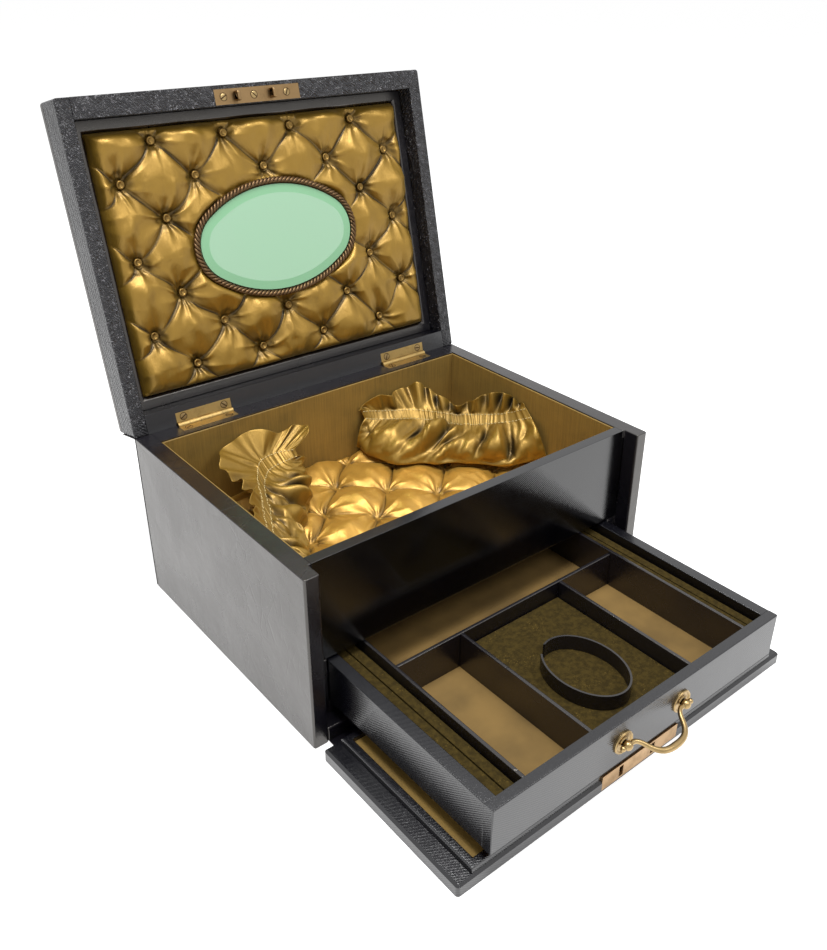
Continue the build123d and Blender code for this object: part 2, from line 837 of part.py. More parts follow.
# ---- drawer handle
def handle_post(x):
    """Dished rosette, pierced ball head and shank, turned about an axis that runs out of the front."""
    profile = [
        (0, -drawer_front_t),
        (shank_r, -drawer_front_t),
        (shank_r, 0),
        (rosette_r, 0),
        (rosette_r, 0.6 * rosette_rim_t),
        (rosette_r - 0.4 * rosette_rim_w, rosette_rim_t),
        (rosette_r - rosette_rim_w, rosette_rim_t),
        (rosette_r - 1.6 * rosette_rim_w, rosette_t),
        (post_head_r + post_collar, rosette_t),
        (post_head_r, rosette_t + post_collar),
        (0, rosette_t + post_collar),
    ]
    turned = revolve(Plane.XZ * make_face(Polyline(*profile, close=True)), Axis.Z)
    turned += Pos(0, 0, pivot_out) * Sphere(post_head_r)
    turned -= Pos(0, 0, pivot_out) * Rot(Y=90) * Cylinder(bail_d / 2 + bail_play, 3 * post_head_r)
    return Pos(x, drawer_front_y, handle_z) * Rot(X=90) * turned


def handle_nut(x):
    nut = extrude(RegularPolygon(nut_flats / math.sqrt(3), 6), nut_t)
    nut -= Pos(0, 0, nut_t / 2) * Cylinder(shank_r, nut_t)
    return Pos(x, drawer_in_front, handle_z) * Rot(X=90) * nut


def handle_bail():
    """Swan-necked bail, swelling to its grip, in its own plane (along X, out from the axis), then drooped."""
    half = post_spacing / 2
    path = Bezier(*[(half - inwards, out * bail_reach) for inwards, out in bail_curve])
    sections = []
    for number in range(bail_sections + 1):
        share = number / bail_sections
        thickness = bail_d + (bail_grip_d - bail_d) * math.sin(math.pi / 2 * share) ** 3
        plane = Plane(origin=path @ share, z_dir=path % share, x_dir=(0, 0, 1))
        sections.append(plane * Circle(thickness / 2))
    bail = loft(sections)
    straight_in = bail_curve[0][0]
    middle = half + (bail_end - straight_in) / 2
    bail += Pos(middle, 0, 0) * Rot(Y=90) * Cylinder(bail_d / 2, bail_end + straight_in)
    bail += Pos(half + bail_end, 0, 0) * Sphere(bail_knob_r)
    bail += mirror(bail, Plane.YZ)
    # the plane's second axis points out of the drawer front and down by the droop
    return Pos(handle_x, pivot_y, handle_z) * Rot(X=180 + bail_drop) * bail


def build():
    save("side_panel_left", side_panel(-1))
    save("side_panel_right", side_panel(1))
    save("back_panel", back_panel())
    save("base_board", base_board())
    save("front_panel", front_panel())
    save("compartment_floor", compartment_floor())
    save("drawer_bed", drawer_bed())
    save("drawer_guides", *drawer_guides())
    for name, lining in linings().items():
        save(name, lining)
    save("bottom_pad", bottom_pad())
    save("pocket_left", pocket(-1))
    save("pocket_right", pocket(1))
    save("flap_hinge_strip", flap_hinge_strip())
    save("hinge_body_leaves", *hinge_body_leaves())
    save("hinge_pins", *hinge_pins())
    save("hinge_body_screws", *[place * screw_body(screw_l) for place in body_screw_places()])

    save("lid_top", in_lid(lid_top()))
    save("lid_side_right", in_lid(lid_side()))
    save("lid_side_left", in_lid(mirror(lid_side(), Plane.YZ)))
    save("lid_front_rail", in_lid(lid_front_rail()))
    save("lid_back_rail", in_lid(lid_back_rail()))
    save("lid_backing", in_lid(lid_backing()))
    save("lid_inner_frame", in_lid(lid_inner_frame()))
    save("lid_pad", in_lid(lid_pad()))
    save("tuft_buttons", *[in_lid(Pos(x, -u, pit_v - seat) * tuft_button()) for x, u in tuft_places()])
    save("mirror_block", in_lid(mirror_block()))
    save("mirror_glass", in_lid(mirror_glass()))
    save("mirror_frame", in_lid(mirror_frame()))
    save("hinge_lid_leaves", *hinge_lid_leaves())
    save("hinge_lid_screws", *[in_lid(place * screw_body(screw_l)) for place in lid_screw_places()])
    save("catch_plate", in_lid(catch_plate()))
    save("catch_staples", *[in_lid(staple) for staple in catch_staples()])
    save("catch_screws", *[in_lid(place * screw_body(screw_l)) for place in catch_screw_places()])

    save("flap_board", flap_board())
    save("flap_frame", flap_frame())
    save("flap_lining", flap_lining())
    save("lock_case", lock_case())
    save("lock_plate", lock_plate())
    save("lock_bolt", lock_bolt())
    save("escutcheon", escutcheon())

    save("drawer_front", drawer_front())
    save("drawer_back", drawer_back())
    save("drawer_side_right", drawer_side())
    save("drawer_side_left", mirror(drawer_side(), Plane.YZ))
    save("drawer_bottom", bottom_space())
    save("long_dividers", *long_dividers())
    save("cross_divider", cross_divider())
    save("centre_dividers", *centre_dividers())
    save("drawer_floor_papers", *floor_papers())
    save("ring_roll_right", ring_roll())
    save("ring_roll_left", mirror(ring_roll(), Plane.YZ))
    save("bracelet_pad", bracelet_pad())
    save("bracelet_band", bracelet_band())
    save("handle_posts", *[handle_post(x) for x in post_xs])
    save("handle_nuts", *[handle_nut(x) for x in post_xs])
    save("handle_bail", handle_bail())


os.makedirs("parts", exist_ok=True)
build()
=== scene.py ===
"""The looks of the vanity box: leather, satin, velvet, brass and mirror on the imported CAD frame."""

import json
import math
import bmesh
import bpy
import numpy as np
from mathutils import Matrix, Vector, noise


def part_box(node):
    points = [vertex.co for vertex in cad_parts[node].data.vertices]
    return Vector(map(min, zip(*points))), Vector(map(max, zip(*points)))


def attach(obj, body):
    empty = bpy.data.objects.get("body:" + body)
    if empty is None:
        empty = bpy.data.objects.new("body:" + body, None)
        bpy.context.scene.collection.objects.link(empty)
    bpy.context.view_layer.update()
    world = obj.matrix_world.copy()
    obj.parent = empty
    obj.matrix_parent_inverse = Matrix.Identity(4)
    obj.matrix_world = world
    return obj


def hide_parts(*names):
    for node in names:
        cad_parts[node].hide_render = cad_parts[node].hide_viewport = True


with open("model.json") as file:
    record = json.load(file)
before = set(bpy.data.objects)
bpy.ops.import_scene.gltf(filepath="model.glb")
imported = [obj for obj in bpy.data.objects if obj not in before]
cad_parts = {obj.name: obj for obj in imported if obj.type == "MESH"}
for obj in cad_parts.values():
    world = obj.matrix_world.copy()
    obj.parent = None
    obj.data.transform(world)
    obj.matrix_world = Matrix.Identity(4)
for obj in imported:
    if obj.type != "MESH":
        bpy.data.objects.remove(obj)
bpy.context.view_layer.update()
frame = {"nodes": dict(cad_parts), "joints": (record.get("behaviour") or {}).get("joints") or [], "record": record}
nodes = frame["nodes"]
bodies = frame["record"]["behaviour"]["bodies"]
body_of = {node: body for body, members in bodies.items() for node in members}
lid_joint = next(joint for joint in frame["joints"] if joint["name"] == "lid_hinge")
lid_angle = math.radians(lid_joint["range_deg"][1])
mm = 0.001
noise.seed_set(1)  # otherwise noise_vector starts from the clock

# the lid's own frame: x across, y from its front edge to the hinge (negative), z outwards
LID = Matrix.Translation(lid_joint["pos_m"]) @ Matrix.Rotation(-lid_angle, 4, "X")

# ---- camera
IMAGE_W, IMAGE_H = 827, 950
FOCAL_PIXELS = 953.4
CENTRE_PIXEL = (446.6, 453.5)
CAMERA_PLACE = (-0.35024, -0.46211, 0.41632)
CAMERA_FORWARD = (0.57429, 0.66910, -0.47170)
CAMERA_UP = (0.29339, 0.36970, 0.88162)


def show(thing):
    bpy.context.scene.collection.objects.link(thing)
    return thing


def make_camera():
    """The camera, with its lens shifted so that the picture's middle falls where it should."""
    data = bpy.data.cameras.new("camera")
    data.sensor_width = 36
    data.lens = FOCAL_PIXELS / IMAGE_H * data.sensor_width
    data.shift_x = (IMAGE_W / 2 - CENTRE_PIXEL[0]) / IMAGE_H
    data.shift_y = (CENTRE_PIXEL[1] - IMAGE_H / 2) / IMAGE_H
    data.clip_start = 0.01
    forward = Vector(CAMERA_FORWARD).normalized()
    right = forward.cross(Vector(CAMERA_UP)).normalized()
    up = right.cross(forward)
    turn = Matrix((right, up, -forward)).transposed().to_4x4()
    camera = show(bpy.data.objects.new("camera", data))
    camera.matrix_world = Matrix.Translation(CAMERA_PLACE) @ turn
    bpy.context.scene.camera = camera


# ---- material helpers
class Shader:
    """A node tree being built, with short calls for the nodes used here."""

    def __init__(self):
        self.material = bpy.data.materials.new("look")
        self.material.use_nodes = True
        self.tree = self.material.node_tree
        self.tree.nodes.clear()
        self.bsdf = self.node("ShaderNodeBsdfPrincipled")
        self.link(self.bsdf.outputs[0], self.node("ShaderNodeOutputMaterial").inputs[0])
        self.coordinates = self.node("ShaderNodeTexCoord").outputs["Object"]

    def node(self, kind, **settings):
        made = self.tree.nodes.new(kind)
        for key, value in settings.items():
            setattr(made, key, value)
        return made

    def link(self, source, target):
        self.tree.links.new(source, target)

    def put(self, socket, value):
        """Link a socket to a socket, or set it to a number or colour."""
        if isinstance(value, bpy.types.NodeSocket):
            self.link(value, socket)
        else:
            socket.default_value = value

    def set(self, **inputs):
        for name, value in inputs.items():
            self.put(self.bsdf.inputs[name.replace("_", " ")], value)

    def mapping(self, scale):
        made = self.node("ShaderNodeMapping")
        self.link(self.coordinates, made.inputs["Vector"])
        made.inputs["Scale"].default_value = scale
        return made.outputs[0]

    def noise(self, scale, detail=3, rough=0.5, source=None, distort=0):
        made = self.node("ShaderNodeTexNoise")
        self.link(source or self.coordinates, made.inputs["Vector"])
        made.inputs["Scale"].default_value = scale
        made.inputs["Detail"].default_value = detail
        made.inputs["Roughness"].default_value = rough
        made.inputs["Distortion"].default_value = distort
        return made.outputs["Fac"]

    def cells(self, scale, source=None, feature="F1"):
        made = self.node("ShaderNodeTexVoronoi", feature=feature)
        self.link(source or self.coordinates, made.inputs["Vector"])
        made.inputs["Scale"].default_value = scale
        return made.outputs["Distance"]

    def stripes(self, pitch, distort):
        """Slanting sine ridges, one every pitch metres."""
        made = self.node("ShaderNodeTexWave", bands_direction="DIAGONAL")
        self.link(self.coordinates, made.inputs["Vector"])
        made.inputs["Scale"].default_value = 2 * math.pi / (10 * pitch)
        made.inputs["Distortion"].default_value = distort
        made.inputs["Detail"].default_value = 1
        return made.outputs["Fac"]

    def math(self, operation, first, second):
        made = self.node("ShaderNodeMath", operation=operation)
        self.put(made.inputs[0], first)
        self.put(made.inputs[1], second)
        return made.outputs[0]

    def ramp(self, value, low, high, to_low=0.0, to_high=1.0):
        """The value's span from low to high, eased into the span from to_low to to_high."""
        made = self.node("ShaderNodeMapRange", clamp=True, interpolation_type="SMOOTHSTEP")
        numbers = {"Value": value, "From Min": low, "From Max": high, "To Min": to_low, "To Max": to_high}
        for name, number in numbers.items():
            self.put(made.inputs[name], number)
        return made.outputs[0]

    def mix(self, share, first, second):
        made = self.node("ShaderNodeMix", data_type="RGBA")
        self.put(made.inputs["Factor"], share)
        self.put(made.inputs[6], first)
        self.put(made.inputs[7], second)
        return made.outputs[2]

    def cavity(self, reach):
        """Near 0 deep in a fold, 1 in the open."""
        made = self.node("ShaderNodeAmbientOcclusion", samples=6, only_local=True)
        made.inputs["Distance"].default_value = reach
        return made.outputs["AO"]

    def bump(self, height, depth, strength=1.0, below=None):
        made = self.node("ShaderNodeBump")
        self.put(made.inputs["Height"], height)
        made.inputs["Distance"].default_value = depth
        made.inputs["Strength"].default_value = strength
        if below:
            self.link(below, made.inputs["Normal"])
        return made.outputs[0]


def rgb(red, green, blue):
    """A colour given as it shows on a screen, 0 to 255."""
    shares = [part / 255 for part in (red, green, blue)]
    lit = [((share + 0.055) / 1.055) ** 2.4 if share > 10 / 255 else share / 12.92 for share in shares]
    return (*lit, 1)


def toned(colour, share):
    """A colour made darker or paler by a share."""
    return rgb(*(part * share for part in colour))


def leather(base, rough, ribs=0.0, pitch=0.0013, pebbled=0.00006, cracks=0.0, broken=False, worn=False):
    """Hard-grained glossy leather: slanting ribs or fine cracks over a pebbled grain. Ribs and pebbled
    are depths in metres, pitch is the ribs' spacing, broken ribs wander and fade, worn is rubbed pale."""
    s = Shader()
    height = s.math("MULTIPLY", s.cells(1500), 0.4)
    if ribs:
        rib = s.stripes(pitch, 1.3 if broken else 0.25)
        if broken:
            rib = s.math("MULTIPLY", rib, s.ramp(s.noise(260, 3, 0.6), 0.36, 0.6))
        height = s.math("ADD", height, rib)
    dents = None
    if cracks:
        crack = s.ramp(s.cells(95, s.mapping((1, 1, 0.45)), "DISTANCE_TO_EDGE"), 0.0, 0.035, -1.6, 0.0)
        shown = s.ramp(s.noise(32, 4, 0.6), 0.48, 0.66)
        height = s.math("ADD", height, s.math("MULTIPLY", crack, s.math("MULTIPLY", shown, cracks)))
        dents = s.bump(s.noise(36, 3, 0.5), 0.0009, 0.6)
        s.set(Specular_Tint=rgb(255, 249, 240))
    blotch = s.ramp(s.noise(45, 5, 0.65), 0.5, 0.75, 0, 0.45)
    colour = s.mix(blotch, rgb(*base), toned(base, 0.5))
    if broken:
        colour = s.mix(s.ramp(s.noise(420, 2, 0.6), 0.62, 0.7, 0, 0.5), colour, rgb(128, 126, 132))
    if worn:
        colour = s.mix(s.ramp(s.noise(260, 6, 0.8), 0.48, 0.6), colour, rgb(150, 146, 138))
    uneven = s.ramp(s.noise(14, 4, 0.6), 0.3, 0.7, rough - 0.04, rough + 0.06)
    s.set(Base_Color=colour, Roughness=uneven, Normal=s.bump(height, max(ribs, pebbled), below=dents))
    s.set(Specular_IOR_Level=0.62 if broken else 0.8 if ribs else 0.95)
    return s.material


def satin(light, shade):
    """Old-gold satin: soft bright highlights, fine threads, small creases, and painted shade in its folds."""
    s = Shader()
    soiling = s.ramp(s.noise(60, 6, 0.7), 0.54, 0.8, 0, 0.6)
    colour = s.mix(soiling, rgb(*light), toned(light, 0.78))
    # painted shade: the shade colour is laid into the folds by ambient occlusion
    colour = s.mix(s.ramp(s.cavity(0.016), 0.42, 1.0), rgb(*shade), colour)
    crease = s.noise(150, 3, 0.55, s.mapping((1, 1, 0.45)), distort=0.9)
    crinkle = s.noise(480, 3, 0.6, distort=0.5)
    thread = s.noise(1, 2, 0.5, s.mapping((3200, 380, 380)))
    normal = s.bump(crinkle, 0.00005, 0.6, s.bump(crease, 0.0005, 0.6))
    s.set(Base_Color=colour, Roughness=0.4, Metallic=0.55, Normal=s.bump(thread, 0.0001, 0.9, normal))
    s.set(Specular_IOR_Level=0.7, Sheen_Weight=0.15, Sheen_Roughness=0.35, Sheen_Tint=rgb(240, 214, 130))
    return s.material


def twisted_cord(colour):
    """Gilt cord, with painted shade between its strands."""
    s = Shader()
    # painted shade: dark brown laid between the strands by ambient occlusion
    tint = s.mix(s.ramp(s.cavity(0.0016), 0.3, 0.9), rgb(30, 20, 14), rgb(*colour))
    fibre = s.noise(2600, 3, 0.6)
    s.set(Base_Color=tint, Metallic=0.9, Roughness=0.42, Normal=s.bump(fibre, 0.00006, 0.5))
    return s.material


def brass(colour, rough):
    """Old brass: brown in its corners and in thin clouds, finely scratched."""
    s = Shader()
    cloud = s.ramp(s.noise(90, 5, 0.65), 0.42, 0.75, 0, 0.55)
    tint = s.mix(cloud, rgb(*colour), toned(colour, 0.7))
    tint = s.mix(s.ramp(s.cavity(0.0012), 0.2, 0.85), toned(colour, 0.35), tint)
    scratch = s.noise(1, 3, 0.5, s.mapping((260, 3800, 3800)))
    s.set(Base_Color=tint, Metallic=1.0, Roughness=s.ramp(cloud, 0, 0.55, rough, rough + 0.14))
    s.set(Normal=s.bump(scratch, 0.00002, 0.4))
    return s.material


def paper(colour):
    """Matt gilt paper, a little clouded."""
    s = Shader()
    fibre = s.noise(900, 4, 0.7)
    tint = s.mix(s.ramp(s.noise(30, 3, 0.5), 0.3, 0.75), rgb(*colour), toned(colour, 0.8))
    s.set(Base_Color=tint, Roughness=0.75, Normal=s.bump(fibre, 0.00005, 0.6), Specular_IOR_Level=0.25)
    return s.material


def silk(colour):
    """Lining silk glued to card: upright threads, a little clouded."""
    s = Shader()
    thread = s.noise(1, 3, 0.6, s.mapping((1500, 1500, 30)))
    cloud = s.noise(24, 4, 0.6, s.mapping((1, 1, 1.6)))
    tint = s.mix(s.ramp(cloud, 0.3, 0.75, 0, 0.8), rgb(*colour), toned(colour, 0.78))
    tint = s.mix(s.ramp(thread, 0.35, 0.7, 0, 0.35), tint, toned(colour, 1.25))
    s.set(Base_Color=tint, Roughness=0.55, Normal=s.bump(thread, 0.00008, 0.6))
    s.set(Sheen_Weight=0.15, Sheen_Tint=rgb(220, 190, 110))
    return s.material


def velvet():
    """Olive velvet, its pile brushed this way and that, with paler tips where it is worn."""
    s = Shader()
    pile = s.noise(1500, 4, 0.7)
    brushed = s.ramp(s.noise(300, 4, 0.7), 0.36, 0.66)
    tint = s.mix(brushed, rgb(48, 39, 16), rgb(66, 54, 23))
    patches = s.ramp(s.noise(70, 3, 0.6), 0.45, 0.7, 0, 0.8)
    worn = s.ramp(s.noise(1100, 2, 0.5), 0.62, 0.72, 0, patches)
    tint = s.mix(worn, tint, rgb(128, 104, 48))
    s.set(Base_Color=tint, Roughness=0.9, Normal=s.bump(pile, 0.0004, 0.9))
    s.set(Specular_IOR_Level=0.1, Sheen_Weight=0.3, Sheen_Roughness=0.4, Sheen_Tint=rgb(150, 130, 70))
    return s.material


def painted_reflection_mirror(tint, silver):
    """Mirror glass whose base colour is a painted reflection of the mint it faces, a little foxed. The less
    silver, the more of the painted reflection shows.
    """
    s = Shader()
    foxing = s.ramp(s.noise(160, 5, 0.7), 0.68, 0.76, 0.01, 0.12)
    s.set(Base_Color=rgb(*tint), Metallic=silver, Roughness=foxing)
    return s.material


def wood():
    """Plain softwood with its grain along x."""
    s = Shader()
    grain = s.noise(1, 4, 0.6, s.mapping((20, 400, 400)))
    s.set(Base_Color=s.mix(grain, rgb(120, 88, 56), rgb(86, 60, 36)), Roughness=0.7)
    return s.material


def paint(piece, *materials):
    piece.data.materials.clear()
    for material in materials:
        piece.data.materials.append(material)


# ---- meshes
def add_piece(name, mesh, body, replaces, finish):
    """A new piece on its body, in place of the CAD nodes it replaces, painted with its finish's look."""
    piece = show(bpy.data.objects.new(name, mesh))
    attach(piece, body)
    if replaces:
        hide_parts(*replaces)
    paint(piece, looks[finish])
    return piece


def mesh_from(name, points, faces, place=Matrix()):
    mesh = bpy.data.meshes.new(name)
    mesh.from_pydata([place @ Vector(point) for point in points], [], faces)
    mesh.update()
    return mesh


def welded(node):
    """A CAD node's mesh as a bmesh with its vertices joined and its flat faces whole."""
    bm = bmesh.new()
    bm.from_mesh(nodes[node].data)
    bmesh.ops.remove_doubles(bm, verts=bm.verts, dist=0.002 * mm)
    return bm


def islands(node, place=Matrix()):
    """The separate solids of a node, each as an array of points in the place's own frame."""
    bm = welded(node)
    inverse = place.inverted()
    left, found = set(bm.verts), []
    while left:
        reached, queue = [], [left.pop()]
        while queue:
            vertex = queue.pop()
            reached.append(inverse @ vertex.co)
            for edge in vertex.link_edges:
                other = edge.other_vert(vertex)
                if other in left:
                    left.remove(other)
                    queue.append(other)
        found.append(np.array(reached))
    bm.free()
    return sorted(found, key=lambda points: tuple(points.mean(0).round(5)))


def local_box(node, place):
    """A node's low and high corners in the place's own frame."""
    points = np.concatenate(islands(node, place))
    return Vector(points.min(0)), Vector(points.max(0))


def softened(node, finish, radius, worn=None):
    """A copy of a node with its hard edges rounded, as a covering or wear rounds them."""
    bm = welded(node)
    bmesh.ops.dissolve_limit(bm, angle_limit=math.radians(0.5), verts=bm.verts, edges=bm.edges)
    hard = [e for e in bm.edges if len(e.link_faces) == 2 and e.calc_face_angle(0) > math.radians(40)]
    shape = {"offset": radius, "segments": 2, "profile": 0.5, "affect": "EDGES", "clamp_overlap": True}
    bmesh.ops.bevel(bm, geom=hard, material=1, **shape)
    mesh = bpy.data.meshes.new(node + "_cover")
    bm.to_mesh(mesh)
    bm.free()
    if "custom_normal" in mesh.attributes:
        mesh.attributes.remove(mesh.attributes["custom_normal"])
    mesh.shade_smooth()
    mesh.set_sharp_from_angle(angle=math.radians(50))
    piece = add_piece(node + "_cover", mesh, body_of[node], [node], finish)
    # the rounded faces take the second look: rubbed pale leather on the boards, a darker silk of painted shade on
    # the linings
    paint(piece, looks[finish], looks[worn or finish])
    normals = piece.modifiers.new("flat faces stay flat", "WEIGHTED_NORMAL")
    normals.keep_sharp = True


def bands(rings, sides, closed=False):
    """Faces between rings of points that follow one another."""
    faces = []
    for ring in range(rings if closed else rings - 1):
        low, high = ring * sides, (ring + 1) % rings * sides
        for turn in range(sides):
            after = (turn + 1) % sides
            faces.append((low + turn, low + after, high + after, high + turn))
    return faces


def strips(rows, columns):
    """Faces of a grid of points."""
    index = np.arange(rows * columns).reshape(rows, columns)
    corners = index[:-1, :-1], index[:-1, 1:], index[1:, 1:], index[1:, :-1]
    return np.stack(corners, -1).reshape(-1, 4)


def lathe(profile, segments):
    """Points and faces of a profile of (radius, height) turned about Z."""
    points = []
    for radius, height in profile:
        for turn in range(segments):
            angle = 2 * math.pi * turn / segments
            points.append((radius * math.cos(angle), radius * math.sin(angle), height))
    return points, bands(len(profile), segments)


def tube(path, radius, sides, closed=False):
    """Points and faces of a round tube along an array of points."""
    path = np.asarray(path)
    if closed:
        tangents = np.roll(path, -1, 0) - np.roll(path, 1, 0)
    else:
        tangents = np.gradient(path, axis=0)
    tangents /= np.linalg.norm(tangents, axis=1)[:, None]
    normal = np.cross(tangents[0], (0.3, 0.2, 1.0))
    points = []
    for centre, tangent in zip(path, tangents):
        normal = normal - tangent * (normal @ tangent)
        normal /= np.linalg.norm(normal)
        side = np.cross(tangent, normal)
        for turn in range(sides):
            angle = 2 * math.pi * turn / sides
            points.append(centre + radius * (math.cos(angle) * normal + math.sin(angle) * side))
    return points, bands(len(path), sides, closed)


def lengths_along(steps):
    return np.concatenate([[0], np.cumsum(steps)])


def sampled(line, travelled, places):
    """The points of a line at some distances along it."""
    return np.stack([np.interp(places, travelled, values) for values in line.T], -1)


def joined(parts):
    """Several (points, faces) as one."""
    points, faces = [], []
    for more_points, more_faces in parts:
        start = len(points)
        points.extend(more_points)
        faces.extend(tuple(index + start for index in face) for face in more_faces)
    return points, faces


# ---- buttoned satin
CELLS = 42  # mesh cells from one button to the next row
CREASE_REACH = 8.0 * mm  # how far the small folds run out from a button
CREASE_DEPTH = 2.4 * mm
SEAT_SLOPE = 5.0 * mm  # round a button's seat, over which the satin rises
EDGE_ROUND = 8.0 * mm  # round the pad's border
HOLE_ROUND = 5.0 * mm  # round the pad's hole
TUCKED_IN = 3.4 * mm  # satin that runs on under what fills the hole
SAG = 2.2 * mm
DRIFT = 3.4 * mm  # how far the puffs stray from a regular pattern
DENTS = 2.6 * mm


def settle(piece, pins, pressure, spare, frames):
    """Blow the satin out against its pins as cloth, with some fabric to spare, and keep the result."""
    group = piece.vertex_groups.new(name="pins")
    group.add([int(index) for index in pins], 1.0, "REPLACE")
    cloth = piece.modifiers.new("cloth", "CLOTH")
    settings = cloth.settings
    settings.vertex_group_mass = "pins"
    settings.quality = 6
    settings.mass = 0.3
    settings.tension_stiffness = settings.compression_stiffness = 15
    settings.shear_stiffness = 5
    settings.bending_stiffness = 0.3
    settings.use_pressure = pressure > 0
    settings.uniform_pressure_force = pressure
    settings.shrink_min = -spare
    settings.effector_weights.gravity = 0
    cloth.collision_settings.use_collision = False
    cloth.point_cache.frame_end = frames + 1
    for step in range(1, frames + 1):
        bpy.context.scene.frame_set(step)
    graph = bpy.context.evaluated_depsgraph_get()
    mesh = bpy.data.meshes.new_from_object(piece.evaluated_get(graph))
    piece.modifiers.clear()
    piece.vertex_groups.clear()
    piece.data = mesh
    bpy.context.scene.frame_set(1)


def iron(mesh, rounds, fixed, creases=()):
    """Even out the cloth's smallest ripples. A crease is evened along its own line only."""
    points = np.array([vertex.co for vertex in mesh.vertices])
    edges = np.array([tuple(edge.vertices) for edge in mesh.edges])
    crease = np.zeros(len(points), bool)
    crease[list(creases)] = True
    edges = edges[crease[edges[:, 0]] == crease[edges[:, 1]]]
    degree = np.zeros(len(points))
    np.add.at(degree, edges.ravel(), 1)
    free = degree > 0
    free[fixed] = False
    for _ in range(rounds):
        total = np.zeros_like(points)
        np.add.at(total, edges[:, 0], points[edges[:, 1]])
        np.add.at(total, edges[:, 1], points[edges[:, 0]])
        points[free] = (points[free] + total[free] / degree[free, None]) / 2
    mesh.vertices.foreach_set("co", points.astype(np.float32).ravel())
    mesh.update()


def chance(*numbers):
    """A settled random number from 0 to 1 for a place in a pattern."""
    total = sum(number * factor for number, factor in zip(numbers, (12.9898, 78.233, 37.719)))
    return np.modf(np.abs(np.sin(total) * 43758.5453))[0]


def creased(i, j, span, steps, seat_r):
    """Small folds that run out from each button and die away, in metres of height, and the distance to
    the nearest button."""
    total = np.zeros(i.shape)
    nearest = np.full(i.shape, 1.0)
    for shift in (0, CELLS):
        column, row = np.round((i - shift) / span), np.round((j - shift) / span)
        dx, dy = (i - shift - column * span) * steps[0], (j - shift - row * span) * steps[1]
        far = np.hypot(dx, dy)
        nearest = np.minimum(nearest, far)
        luck = chance(column + 3, row + 7, shift)
        count = 7 + np.floor(luck * 4)
        angle = np.arctan2(dy, dx) + (luck - 0.5) * 1.2 * np.tanh(far / (9 * mm))
        fold = 1 - 2 * np.abs(np.sin(angle * count / 2 + 9 * luck)) ** 0.7
        uneven = 0.6 + 0.8 * np.abs(np.sin(angle * 1.5 + 20 * luck))
        reach = CREASE_REACH * (0.7 + 0.7 * chance(column + 1, row + 2, shift))
        out = np.clip((far - seat_r) / (3 * mm), 0, 1)
        total += CREASE_DEPTH * fold * uneven * out * np.exp(-far / reach)
    return total, nearest


def rounded(inwards, radius):
    """0 at an edge and 1 from the radius inwards, along a quarter circle."""
    return np.sqrt(1 - (1 - np.clip(inwards / radius, 0, 1)) ** 2)


def pad_lines(low, high, button, step):
    """The numbers and places of a pad's mesh lines along one axis. Number 0 runs through the button."""
    first = math.ceil((low - button) / step + 0.35)
    last = math.floor((high - button) / step - 0.35)
    numbers = np.arange(first - 1, last + 2)
    line = button + numbers * step
    line[0], line[-1] = low, high
    return numbers, line


def split_cells(i, j, kept):
    """Triangles of the pad's cells, split along the folds, without those that have a point left out."""
    order = np.cumsum(kept) - 1
    columns = i.shape[1]
    faces = []
    for a in range(i.shape[0] - 1):
        for b in range(columns - 1):
            here, there = a * columns + b, (a + 1) * columns + b
            if (i[a, b] + j[a, b]) % 2:
                halves = [here, there, here + 1], [there, there + 1, here + 1]
            else:
                halves = [here, there, there + 1], [here, there + 1, here + 1]
            faces += [order[half].tolist() for half in halves if kept[half].all()]
    return order, faces


